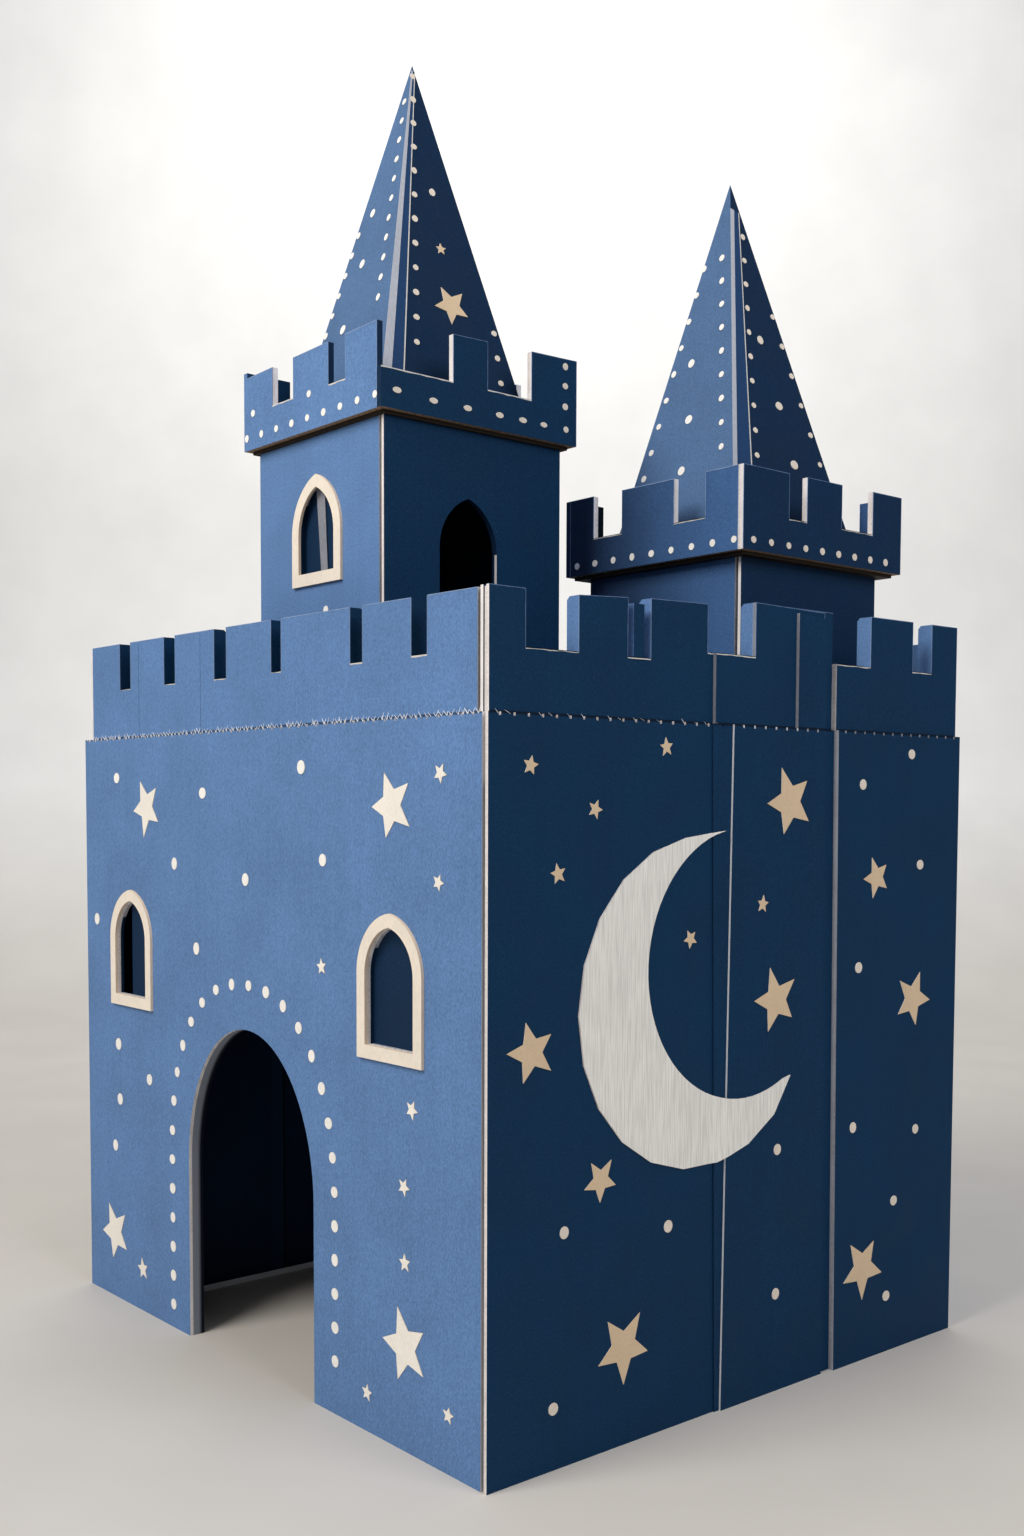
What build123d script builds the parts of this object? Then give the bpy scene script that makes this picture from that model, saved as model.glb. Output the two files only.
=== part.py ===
from build123d import *
import math
import os

os.makedirs("parts", exist_ok=True)

# A toy castle of corrugated board: an open-bottomed carton dressed with outer sheets,
# a battlement all round, a roof deck and two square towers with pointed roofs.
# Millimetres, +Z up, the front (door) faces -Y, the origin is at the middle of the base.

# Boards and papers
board = 2.8                 # single-wall corrugated board
thick_board = 7.4           # double-wall board of the right wall's back panel
collar_board = 5.2          # double-wall board of the tower collars
frame_board = 2.4           # board of the window frames
seam_card = 1.2             # card of the strip beside the right wall's seam
moon_card = 1.2
paper = 0.5                 # stars and dots
glue_gap = 0.3              # room between a folded tab and the sheet it is tucked behind
fold_radius = 3.2           # outside radius of a fold in single-wall board

# Main box
front_width = 575
side_depth = 504
wall_height = 500
carton_height = 455         # the roof deck lies on the carton's top edge
parapet_rise = 79           # from the wall's torn top edge to the merlon tops
crenel_drop = 39            # from the merlon tops to the notch floors
corner_reveal = 3.2         # strip of the carton's fold left bare at the near corner
carton_tab = 30

# Perforation along the torn top edge of the outer sheets
tear_pitch = 12
tear_width = 1.8
tear_depth = 2.2

# Door
door_centre = -7            # from the middle of the front wall
door_width = 188
door_height = 267
door_rise = 119             # from the springing of the arch to its top
door_depth = 13             # depth of the lined doorway

# Windows, measured over their frames
window_width = 75
window_sill = 266
window_height = 102
window_rise = 43            # from the springing of the arch to its point
frame_width = 9.5
left_window_centre = -199
right_window_centre = 184
backing_margin = 9
left_backing_slot = 17      # bare strip left beside the left window's backing

# Right wall, by distance from the near corner at the top and at the floor
seam_strip_start_top = 205
seam_strip_start_floor = 214
overlay_start_top = 226
overlay_start_floor = 219
overlay_end_top = 330
overlay_end_floor = 335
back_panel_start_top = 343
back_panel_start_floor = 348

# Battlement: notches as (start, width), from the left of each wall as seen from outside
front_notches = ((64, 21), (157, 24), (244, 20), (332, 18), (418, 17), (490, 17))
right_notches = ((33, 46), (124, 22), (203, 48))
right_back_notches = ((343, 42), (440, 26))
hidden_notch = 22
hidden_notch_count = 5
flap_depth = 12
flap_chamfer = 8
overlay_parapet_start = 209
left_parapet_inset = 5.5    # how far the left battlement stands in from the carton's face
near_merlon_gap = 3
corner_strip_width = 26
corner_strip_inset = 1      # the blue strip stops this short of the backing board's top and end
tongue_width = 14
tongue_drop = 12            # how far the tongue stays below the merlon tops
patch_start = 297
patch_drop = 4

# Inner partition seen through the door
partition_offset = -208
pleat_depth = 8
pleat_width = 14
pleat_distance = 152

# First tower, over the door
tower_1_centre = -6
tower_1_setback = 156       # from the front wall's face to the tower's middle
tower_1_width = 178
collar_1_width = 195
collar_1_bottom = 734.5
collar_1_rise = 63.5
collar_1_notch_floor = 764
tower_1_deck = 740
spire_1_width = 144
spire_1_tip = 1047
spire_1_lean = (1.8, 2.1)   # how far the tip stands off the tower's middle

# Second tower, to the right and behind
tower_2_centre = 140
tower_2_setback = 390
tower_2_width = 172
collar_2_bottom = 638
collar_2_rise = 64
collar_2_notch_floor = 667
tower_2_deck = 643
collar_2_width = 200
spire_2_width = 149
spire_2_tip = 963
spire_2_lean = (-2.0, -2.4)

tower_reveal = 3.2          # strip of the tower's fold left bare at its near corner
tower_tab = 22
packing_drop = 2.8          # how far the packing under a tower deck hangs below the collar
spire_slot_foot = 14        # the slot beside a spire's near edge narrows towards the tip
spire_slot_tip = 5
tip_width = 2.4

# First tower's window and opening, from the middle of their faces
tower_window_width = 69
tower_window_sill = 616
tower_window_height = 86
tower_window_rise = 34
tower_frame_width = 8
tower_opening_offset = -8
tower_opening_width = 57
tower_opening_sill = 590
tower_opening_height = 90
tower_opening_rise = 28

# Moon: a disc with a smaller disc cut away
moon_distance = 198
moon_z = 300
moon_radius = 117
moon_bite_distance = 245
moon_bite_z = 327
moon_bite_radius = 99

# Stars and dots
star_waist = 0.46           # inner radius of a star as a share of its outer radius
small_star = 8.5
wall_dot = 3.4
tower_dot = 2.9
dot_sides = 8

# Derived places
back_step = thick_board - board
x_left = -(front_width + back_step + paper) / 2
x_right = x_left + front_width
x_front_mid = (x_left + x_right) / 2
y_front = -(side_depth + frame_board) / 2 + frame_board
y_back = y_front + side_depth
parapet_top = wall_height + parapet_rise
notch_floor = parapet_top - crenel_drop
deck_top = carton_height + board


def wall_plane(side, reach):
    """The plane of a wall face; local x runs to the right as seen from outside, y is up."""
    normals = {"front": (0, -1, 0), "right": (1, 0, 0), "back": (0, 1, 0), "left": (-1, 0, 0)}
    runs = {"front": (1, 0, 0), "right": (0, 1, 0), "back": (-1, 0, 0), "left": (0, -1, 0)}
    origins = {"front": (0, reach, 0), "right": (reach, 0, 0), "back": (0, reach, 0), "left": (reach, 0, 0)}
    return Plane(origin=origins[side], x_dir=runs[side], z_dir=normals[side])


def save(part, name):
    part.label = name
    export_step(part, f"parts/{name}.step")


def rectangle_between(x0, x1, z0, z1, mode=Mode.ADD):
    with Locations(((x0 + x1) / 2, (z0 + z1) / 2)):
        Rectangle(x1 - x0, z1 - z0, mode=mode)


def lancet(centre, width, sill, height, rise):
    """A window outline with straight sides and a pointed arch."""
    half = width / 2
    spring = sill + height - rise
    reach = (half ** 2 + rise ** 2) / (2 * half)
    with BuildSketch() as outline:
        with BuildLine():
            Polyline(
                (centre - half, spring),
                (centre - half, sill),
                (centre + half, sill),
                (centre + half, spring),
            )
            RadiusArc((centre + half, spring), (centre, sill + height), -reach)
            RadiusArc((centre, sill + height), (centre - half, spring), -reach)
        make_face()
    return outline.sketch


def lancet_inside(centre, width, sill, height, rise, margin):
    """The same outline set in by a margin all round."""
    half = width / 2
    reach = (half ** 2 + rise ** 2) / (2 * half)
    inner_half = half - margin
    inner_rise = math.sqrt((reach - margin) ** 2 - (reach - half) ** 2)
    inner_sill = sill + margin
    inner_height = height - rise + inner_rise - margin
    return lancet(centre, 2 * inner_half, inner_sill, inner_height, inner_rise)


def doorway(margin, mode=Mode.ADD):
    """The arched door outline, widened by a margin."""
    half = door_width / 2 + margin
    spring = door_height - door_rise
    centre = x_front_mid + door_centre
    rectangle_between(centre - half, centre + half, 0, spring, mode)
    with Locations((centre, spring)):
        Ellipse(half, door_rise + margin, mode=mode)


def tear_notches(start, end, top):
    """Small cuts along the top edge, where the sheet was torn off at its perforation."""
    count = int((end - start) // tear_pitch)
    first = (start + end) / 2 - (count - 1) * tear_pitch / 2
    for index in range(count):
        middle = first + index * tear_pitch
        rectangle_between(middle - tear_width / 2, middle + tear_width / 2, top - tear_depth, top,
                          Mode.SUBTRACT)


def folded_ring(x0, x1, y0, y1):
    """The section of a sheet folded round four corners."""
    with Locations(((x0 + x1) / 2, (y0 + y1) / 2)):
        RectangleRounded(x1 - x0, y1 - y0, fold_radius)
        RectangleRounded(x1 - x0 - 2 * board, y1 - y0 - 2 * board, fold_radius - board, mode=Mode.SUBTRACT)


def folded_tube(x0, x1, y0, y1, tab):
    """A folded ring that is closed at the back left by a tab tucked inside."""
    folded_ring(x0, x1, y0, y1)
    seam = x0 + board
    rectangle_between(seam, seam + glue_gap, y1 - board, y1, Mode.SUBTRACT)
    rectangle_between(seam + glue_gap, seam + glue_gap + board, y1 - tab, y1 - board)


# Carton: one sheet folded round four corners, closed by a tab at the back left
carton_x0 = x_left + board
carton_x1 = x_right - board
carton_y0 = y_front + board
carton_y1 = y_back - board
with BuildPart() as carton:
    with BuildSketch():
        folded_tube(carton_x0, carton_x1, carton_y0, carton_y1, carton_tab)
    extrude(amount=carton_height)
    with BuildSketch(wall_plane("front", carton_y0)):
        doorway(board)
        for window_centre in (left_window_centre, right_window_centre):
            add(lancet_inside(x_front_mid + window_centre, window_width, window_sill, window_height,
                              window_rise, frame_width))
    extrude(amount=-board, mode=Mode.SUBTRACT)
save(carton.part, "inner_carton")

# Front wall: outer sheet with the doorway and two window openings
front_end = x_right - board - corner_reveal
with BuildPart() as front_wall:
    with BuildSketch(wall_plane("front", y_front)):
        rectangle_between(x_left, front_end, 0, wall_height)
        doorway(0, Mode.SUBTRACT)
        for window_centre in (left_window_centre, right_window_centre):
            add(lancet_inside(x_front_mid + window_centre, window_width, window_sill, window_height,
                              window_rise, frame_width), mode=Mode.SUBTRACT)
        tear_notches(x_left, front_end, wall_height)
    extrude(amount=-board)
save(front_wall.part, "front_wall")

# Door lining: a strip bent round the doorway behind the front wall
with BuildPart() as door_lining:
    with BuildSketch(wall_plane("front", y_front + board)):
        doorway(board)
        doorway(0, Mode.SUBTRACT)
    extrude(amount=board - door_depth)
save(door_lining.part, "door_lining")


def wall_panel(name, side, reach, floor_span, top_span, thickness):
    """An outer sheet that may be a little wider at one end, torn along its top edge."""
    with BuildPart() as panel:
        with BuildSketch(wall_plane(side, reach)):
            with BuildLine():
                Polyline(
                    (floor_span[0], 0),
                    (floor_span[1], 0),
                    (top_span[1], wall_height),
                    (top_span[0], wall_height),
                    close=True,
                )
            make_face()
            tear_notches(top_span[0], top_span[1], wall_height)
        extrude(amount=-thickness)
    save(panel.part, name)
    return panel.part


# Right wall: a base sheet, a strip and a sheet laid over it, and a thicker back panel
wall_panel("right_wall", "right", x_right,
           (y_front, y_front + back_panel_start_floor),
           (y_front, y_front + back_panel_start_top), board)
seam_strip = wall_panel("right_seam_strip", "right", x_right + seam_card,
                        (y_front + seam_strip_start_floor, y_front + overlay_start_floor),
                        (y_front + seam_strip_start_top, y_front + overlay_start_top), seam_card)
overlay = wall_panel("right_overlay", "right", x_right + board,
                     (y_front + overlay_start_floor, y_front + overlay_end_floor),
                     (y_front + overlay_start_top, y_front + overlay_end_top), board)
wall_panel("right_back_panel", "right", x_right + back_step,
           (y_front + back_panel_start_floor, y_back),
           (y_front + back_panel_start_top, y_back), thick_board)

# Left and back walls
wall_panel("left_wall", "left", x_left, (-y_back, -carton_y0), (-y_back, -carton_y0), board)
wall_panel("back_wall", "back", y_back, (-carton_x1, -carton_x0), (-carton_x1, -carton_x0), board)

# Roof deck: lies on the carton's top edge and carries the battlement and both towers
with BuildPart() as roof_deck:
    with BuildSketch(Plane.XY.offset(carton_height)):
        rectangle_between(carton_x0, carton_x1, carton_y0, carton_y1)
    extrude(amount=board)
save(roof_deck.part, "roof_deck")

# Inner partition: a standing sheet with one pleat, seen through the door
partition_x = x_front_mid + partition_offset
partition_y0 = y_front + door_depth
partition_y1 = carton_y1 - board
pleat_y = y_front + pleat_distance
pleat_path = [
    (partition_x, partition_y0),
    (partition_x, pleat_y - pleat_width / 2),
    (partition_x + pleat_depth, pleat_y),
    (partition_x, pleat_y + pleat_width / 2),
    (partition_x, partition_y1),
]
with BuildPart() as partition:
    with BuildSketch():
        with BuildLine():
            Polyline(*pleat_path, *[(x - board, y) for x, y in reversed(pleat_path)], close=True)
        make_face()
    extrude(amount=carton_height)
save(partition.part, "inner_partition")


def parapet(name, side, reach, start, end, notches, facing=0):
    """A battlement sheet whose notches were cut as doors and folded in on both sides."""
    plane = wall_plane(side, reach)
    with BuildPart() as sheet:
        for foot, amount in ((deck_top, -board), (wall_height, facing)):
            if amount:
                with BuildSketch(plane):
                    rectangle_between(start, end, foot, parapet_top)
                    for notch_start, notch_width in notches:
                        rectangle_between(notch_start, notch_start + notch_width, notch_floor, parapet_top,
                                          Mode.SUBTRACT)
                extrude(amount=amount)
        for notch_start, notch_width in notches:
            for fold in (notch_start - board, notch_start + notch_width):
                if fold < start or fold + board > end:
                    continue
                flap_plane = Plane(
                    origin=plane.from_local_coords((fold, 0, 0)),
                    x_dir=-plane.z_dir,
                    z_dir=plane.x_dir,
                )
                with BuildSketch(flap_plane):
                    with BuildLine():
                        Polyline(
                            (board, notch_floor),
                            (board + flap_depth, notch_floor),
                            (board + flap_depth, parapet_top - flap_chamfer),
                            (board + flap_depth - flap_chamfer, parapet_top),
                            (board, parapet_top),
                            close=True,
                        )
                    make_face()
                extrude(amount=board)
    save(sheet.part, name)


def shifted(notches, origin):
    return [(origin + start, width) for start, width in notches]


def even_notches(start, end):
    """Notches spread evenly along a wall that the maker left regular."""
    pitch = (end - start) / (hidden_notch_count + 1)
    first = start + pitch - hidden_notch / 2
    return [(first + pitch * index, hidden_notch) for index in range(hidden_notch_count)]


backing_x0 = carton_x1 - 3 * board
front_parapet_end = backing_x0 - near_merlon_gap
parapet_x0 = carton_x0 + left_parapet_inset
parapet("front_parapet", "front", carton_y0, parapet_x0 + board, front_parapet_end,
        shifted(front_notches, x_left))
parapet("right_parapet", "right", carton_x1, carton_y0, y_front + back_panel_start_top,
        shifted(right_notches, y_front))
parapet("right_parapet_back", "right", carton_x1, y_front + back_panel_start_top,
        carton_y1, shifted(right_back_notches, y_front), thick_board - board)
parapet("left_parapet", "left", parapet_x0, -carton_y1, -carton_y0, even_notches(-carton_y1, -carton_y0))
parapet("back_parapet", "back", carton_y1, -carton_x1 + board, -parapet_x0 - board,
        even_notches(-carton_x1 + board, -parapet_x0 - board))

# Sheets laid over the right parapet: one from the third notch on, one more near its end
third_notch_end = y_front + right_notches[2][0] + right_notches[2][1]
overlay_parapet_end = y_front + overlay_end_top
with BuildPart() as overlay_parapet:
    with BuildSketch(wall_plane("right", x_right)):
        rectangle_between(y_front + overlay_parapet_start, overlay_parapet_end, wall_height, notch_floor)
        rectangle_between(third_notch_end, overlay_parapet_end, notch_floor, parapet_top)
    extrude(amount=-board)
save(overlay_parapet.part, "right_parapet_overlay")
with BuildPart() as patch:
    with BuildSketch(wall_plane("right", x_right + board)):
        rectangle_between(y_front + patch_start, overlay_parapet_end, wall_height, parapet_top - patch_drop)
    extrude(amount=-board)
save(patch.part, "right_parapet_patch")


def upright_board(name, x0, x1, y0, y1, z0, z1):
    """A flat strip of board standing on the roof deck."""
    with BuildPart() as strip:
        with BuildSketch(Plane.XY.offset(z0)):
            rectangle_between(x0, x1, y0, y1)
        extrude(amount=z1 - z0)
    save(strip.part, name)


# Near corner of the battlement: a blue strip and a backing board inside the right parapet
upright_board("corner_strip", carton_x1 - 2 * board, carton_x1 - board,
              carton_y0 + corner_strip_inset, carton_y0 + corner_strip_width,
              deck_top, parapet_top - corner_strip_inset)
upright_board("corner_backing", backing_x0, backing_x0 + board,
              carton_y0, carton_y0 + corner_strip_width, deck_top, parapet_top)

# Tongue: a narrow board behind the second notch of the right parapet
second_notch_mid = y_front + right_notches[1][0] + right_notches[1][1] / 2
upright_board("parapet_tongue", carton_x1 - 2 * board, carton_x1 - board,
              second_notch_mid - tongue_width / 2, second_notch_mid + tongue_width / 2,
              deck_top, parapet_top - tongue_drop)


def window_frame(name, side, reach, centre, width, sill, height, rise, margin):
    with BuildPart() as frame:
        with BuildSketch(wall_plane(side, reach)):
            add(lancet(centre, width, sill, height, rise))
            add(lancet_inside(centre, width, sill, height, rise, margin), mode=Mode.SUBTRACT)
        extrude(amount=frame_board)
    save(frame.part, name)


def window_backing(name, reach, x0, x1, z0, z1):
    """A plain sheet glued behind a window opening."""
    with BuildPart() as sheet:
        with BuildSketch(wall_plane("front", reach)):
            rectangle_between(x0, x1, z0, z1)
        extrude(amount=-board)
    save(sheet.part, name)


for side_name, window_centre, slot in (("left", left_window_centre, left_backing_slot + frame_width),
                                       ("right", right_window_centre, frame_width - backing_margin)):
    centre = x_front_mid + window_centre
    window_frame(f"{side_name}_window_frame", "front", y_front, centre,
                 window_width, window_sill, window_height, window_rise, frame_width)
    window_backing(f"{side_name}_window_backing", carton_y0 + board,
                   centre - window_width / 2 + slot, centre + window_width / 2 - frame_width + backing_margin,
                   window_sill + frame_width - backing_margin, window_sill + window_height)


def tower(number, centre, width, deck_z, collar_width, collar_bottom, collar_top,
          collar_floor, collar_notches, spire_width, spire_tip, spire_lean):
    prefix = f"tower_{number}"
    cx, cy = centre
    half = width / 2
    core_half = half - board

    # Core: a folded tube standing on the roof deck
    with BuildPart() as core:
        with BuildSketch(Plane.XY.offset(deck_top)):
            folded_tube(cx - core_half, cx + core_half, cy - core_half, cy + core_half, tower_tab)
        extrude(amount=deck_z - deck_top)
        if number == 1:
            add(tower_1_openings(centre, core_half, board), mode=Mode.SUBTRACT)
    save(core.part, f"{prefix}_core")

    # Skin: one sheet wrapped round the core; near the corner its raw ends leave the fold bare
    near_x = cx + half
    near_y = cy - half
    with BuildPart() as skin:
        with BuildSketch(Plane.XY.offset(deck_top)):
            folded_ring(cx - half, near_x, near_y, cy + half)
            rectangle_between(near_x - board, near_x, near_y, near_y + board)
            rectangle_between(near_x - board - tower_reveal, near_x - board, near_y, near_y + board,
                              Mode.SUBTRACT)
        extrude(amount=deck_z - deck_top)
        if number == 1:
            add(tower_1_openings(centre, half, board), mode=Mode.SUBTRACT)
    save(skin.part, f"{prefix}_skin")

    # Deck: closes the tower, carries the spire and fits inside the collar
    collar_half = collar_width / 2
    inner_half = collar_half - collar_board
    with BuildPart() as deck:
        with BuildSketch(Plane.XY.offset(deck_z)):
            with Locations(centre):
                Rectangle(2 * inner_half, 2 * inner_half)
        extrude(amount=board)
    save(deck.part, f"{prefix}_deck")

    # Packing: a brown ring under the deck that fills the room between the tower and its collar
    with BuildPart() as packing:
        with BuildSketch(Plane.XY.offset(collar_bottom - packing_drop)):
            with Locations(centre):
                Rectangle(2 * inner_half, 2 * inner_half)
                Rectangle(width, width, mode=Mode.SUBTRACT)
        extrude(amount=deck_z - collar_bottom + packing_drop)
    save(packing.part, f"{prefix}_packing")

    # Collar: four thick boards with square notches; the right one covers the front one's end
    spans = {
        "front": (cx - inner_half, cx + inner_half, cy - collar_half),
        "right": (cy - collar_half, cy + collar_half, cx + collar_half),
        "back": (-cx - inner_half, -cx + inner_half, cy + collar_half),
        "left": (-cy - collar_half, -cy + collar_half, cx - collar_half),
    }
    for side, (start, end, reach) in spans.items():
        middle = (start + end) / 2
        with BuildPart() as collar:
            with BuildSketch(wall_plane(side, reach)):
                rectangle_between(start, end, collar_bottom, collar_top)
                for notch_start, notch_end in collar_notches[side]:
                    rectangle_between(middle + notch_start, middle + notch_end, collar_floor, collar_top,
                                      Mode.SUBTRACT)
            extrude(amount=-collar_board)
        save(collar.part, f"{prefix}_collar_{side}")

    # Spire: a folded inner pyramid and an outer sheet that leaves its near edge bare
    base_z = deck_z + board
    slope = (spire_width / 2) / (spire_tip - base_z)
    layer = board / math.cos(math.atan(slope))
    pyramid_halves = [spire_width / 2 - index * layer for index in range(3)]
    near_corner = Vector(cx + spire_width / 2, cy - spire_width / 2, base_z)
    tip = Vector(cx + spire_lean[0], cy + spire_lean[1], spire_tip)
    lean = [offset / (spire_tip - base_z) for offset in spire_lean]
    edge = (tip - near_corner).normalized()
    length = (tip - near_corner).length
    across = (Vector(0, 1, 0) - edge * edge.Y).normalized()
    with BuildPart() as spire_skin:
        add(pyramid(centre, pyramid_halves[0], base_z, slope, lean))
        add(pyramid(centre, pyramid_halves[1], base_z, slope, lean), mode=Mode.SUBTRACT)
        with BuildSketch(Plane(origin=near_corner, x_dir=across, z_dir=across.cross(edge))):
            with BuildLine():
                Polyline(
                    (board, -spire_slot_foot),
                    (spire_slot_foot, -spire_slot_foot),
                    (spire_slot_tip, length),
                    (board, length),
                    close=True,
                )
            make_face()
        extrude(amount=-layer, mode=Mode.SUBTRACT)
    save(spire_skin.part, f"{prefix}_spire_skin")
    with BuildPart() as spire_core:
        add(pyramid(centre, pyramid_halves[1], base_z, slope, lean))
        add(pyramid(centre, pyramid_halves[2], base_z, slope, lean), mode=Mode.SUBTRACT)
    save(spire_core.part, f"{prefix}_spire_core")


def pyramid(centre, half, base_z, slope, lean):
    """A square pyramid with a small blunt tip; lean is its sideways shift per unit of height."""
    height = (half - tip_width / 2) / slope
    levels = ((base_z, half, 0), (base_z + height, tip_width / 2, height))
    rings = []
    for level, reach, rise in levels:
        x = centre[0] + lean[0] * rise
        y = centre[1] + lean[1] * rise
        rings.append([Vector(x + reach * sx, y + reach * sy, level) for sx, sy in
                      ((-1, -1), (1, -1), (1, 1), (-1, 1))])
    foot, top = rings
    sides = [[foot[i], foot[(i + 1) % 4], top[(i + 1) % 4], top[i]] for i in range(4)]
    faces = [Face(Wire.make_polygon(corners)) for corners in [foot, top, *sides]]
    return Solid(Shell(faces))


def tower_1_openings(centre, half, depth):
    """The cutter for the first tower's framed window and plain side opening, for one layer."""
    cx, cy = centre
    with BuildPart() as cutter:
        with BuildSketch(wall_plane("front", cy - half)):
            add(lancet_inside(cx, tower_window_width, tower_window_sill, tower_window_height,
                              tower_window_rise, tower_frame_width))
        extrude(amount=-depth)
        with BuildSketch(wall_plane("right", cx + half)):
            add(lancet(cy + tower_opening_offset, tower_opening_width, tower_opening_sill,
                       tower_opening_height, tower_opening_rise))
        extrude(amount=-depth)
    return cutter.part


tower_1_place = (x_front_mid + tower_1_centre, y_front + tower_1_setback)
tower_2_place = (x_front_mid + tower_2_centre, y_front + tower_2_setback)
collar_1_notches = {
    "front": ((-46, -17), (30, 56)),
    "right": ((-79, -38), (2, 47)),
    "back": ((-56, -28), (28, 56)),
    "left": ((-56, -28), (28, 56)),
}
collar_2_notches = {
    "front": ((-66, -32), (27, 61)),
    "right": ((-46, -24), (20, 61)),
    "back": ((-61, -28), (28, 61)),
    "left": ((-61, -28), (28, 61)),
}
tower(1, tower_1_place, tower_1_width, tower_1_deck, collar_1_width,
      collar_1_bottom, collar_1_bottom + collar_1_rise, collar_1_notch_floor, collar_1_notches,
      spire_1_width, spire_1_tip, spire_1_lean)
tower(2, tower_2_place, tower_2_width, tower_2_deck, collar_2_width,
      collar_2_bottom, collar_2_bottom + collar_2_rise, collar_2_notch_floor, collar_2_notches,
      spire_2_width, spire_2_tip, spire_2_lean)

tower_1_front = tower_1_place[1] - tower_1_width / 2
window_frame("tower_1_window_frame", "front", tower_1_front, tower_1_place[0],
             tower_window_width, tower_window_sill, tower_window_height, tower_window_rise, tower_frame_width)
window_backing("tower_1_window_backing", tower_1_front + 2 * board,
               tower_1_place[0] - tower_window_width / 2, tower_1_place[0] + tower_window_width / 2,
               tower_window_sill, tower_window_sill + tower_window_height)

# Moon: glued over the seam, level with the overlay's face and packed out over the sheets below it
with BuildPart() as moon:
    with BuildSketch(wall_plane("right", x_right)):
        with Locations((y_front + moon_distance, moon_z)):
            Circle(moon_radius)
        with Locations((y_front + moon_bite_distance, moon_bite_z)):
            Circle(moon_bite_radius, mode=Mode.SUBTRACT)
    extrude(amount=board + moon_card)
    add(overlay, mode=Mode.SUBTRACT)
    add(seam_strip, mode=Mode.SUBTRACT)
save(moon.part, "moon")


def star(place, radius, turn):
    """A five-pointed star whose first point stands at the given angle."""
    corners = []
    for index in range(10):
        reach = radius if index % 2 == 0 else radius * star_waist
        angle = math.radians(turn + 36 * index)
        corners.append((place[0] + reach * math.cos(angle), place[1] + reach * math.sin(angle)))
    with BuildSketch() as outline:
        with BuildLine():
            Polyline(*corners, close=True)
        make_face()
    return outline.sketch


def paper_stars(name, faces):
    """Paper stars on several faces: each face has its plane and its stars."""
    with BuildPart() as stars:
        for plane, star_list in faces:
            with BuildSketch(plane):
                for place, radius, turn in star_list:
                    add(star(place, radius, turn))
            extrude(amount=paper)
    save(stars.part, name)


def paper_dots(name, dot_radius, faces):
    """Paper dots on several faces: each face has its plane and its places."""
    with BuildPart() as dots:
        for plane, places in faces:
            with BuildSketch(plane):
                with Locations(*places):
                    RegularPolygon(dot_radius, dot_sides)
            extrude(amount=paper)
    save(dots.part, name)


def row(start, end, count):
    """Evenly spaced dots between two places."""
    steps = [index / (count - 1) for index in range(count)]
    return [(start[0] + (end[0] - start[0]) * s, start[1] + (end[1] - start[1]) * s) for s in steps]


# Front wall: big and small stars, loose dots, and a row of dots round the doorway
front_big_stars = (((-170, 439), 24.5, 115), ((185, 441), 24, 110), ((-238, 59), 26, 116),
                   ((200, 73), 26, 108))
front_small_stars = ((239, 462), (237, 391), (99, 325), (208, 237), (199, 183), (200, 131), (155, 28),
                     (248, 40), (-185, 37))
front_loose_dots = ((-225, 465), (-73, 451), (73, 469), (-121, 393), (-7, 384), (101, 402), (-267, 339),
                    (-85, 325), (-227, 230), (-169, 206), (-225, 181), (-235, 138))
door_dot_margin = 27
door_dot_pitch = 26
door_dot_first = 18
door_dot_lift = 4
small_star_turn = 18


def door_dots():
    """Dots up one side of the doorway, round its arch and down the other side."""
    spring = door_height - door_rise
    reach = door_width / 2 + door_dot_margin
    rise = door_rise + door_dot_margin + door_dot_lift
    column = int((spring - door_dot_first) // door_dot_pitch) + 1
    places = []
    for side in (-1, 1):
        for index in range(column):
            places.append((door_centre + side * reach, door_dot_first + index * door_dot_pitch))
    arch = int(math.pi * (reach + rise) / 2 // door_dot_pitch)
    for index in range(1, arch):
        angle = math.pi * index / arch
        places.append((door_centre + reach * math.cos(angle), spring + rise * math.sin(angle)))
    return places


def from_mid(places):
    return [(x_front_mid + x, z) for x, z in places]


front_stars = [((x_front_mid + place[0], place[1]), radius, turn) for place, radius, turn in front_big_stars]
front_stars += [(place, small_star, small_star_turn) for place in from_mid(front_small_stars)]
front_face = wall_plane("front", y_front)
paper_stars("front_wall_stars", [(front_face, front_stars)])
paper_dots("front_wall_dots", wall_dot, [(front_face, from_mid(list(front_loose_dots) + door_dots()))])

# Right wall: stars and dots by distance from the near corner
right_big_stars = (((37, 282), 20.5, 105), ((99, 189), 15.5, 124), ((122, 69), 25, 126))
right_small_stars = ((35, 467), (159, 482), (92, 439), (59, 397), (185, 348))
right_dots = ((66, 159), (165, 146), (57, 42))
overlay_big_stars = (((288, 445), 26, 111), ((275, 298), 24.5, 106))
overlay_small_stars = ((259, 370),)
overlay_dots = ((279, 185), (279, 75))
back_panel_stars = (((393, 386), 16.5, 111), ((444, 286), 23.5, 66), ((383, 75), 25.5, 126))
back_panel_dots = ((437, 484), (374, 459), (451, 395), (372, 316), (368, 190), (451, 178), (423, 123),
                   (415, 46))


def from_corner(places):
    return [(y_front + distance, z) for distance, z in places]


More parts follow.
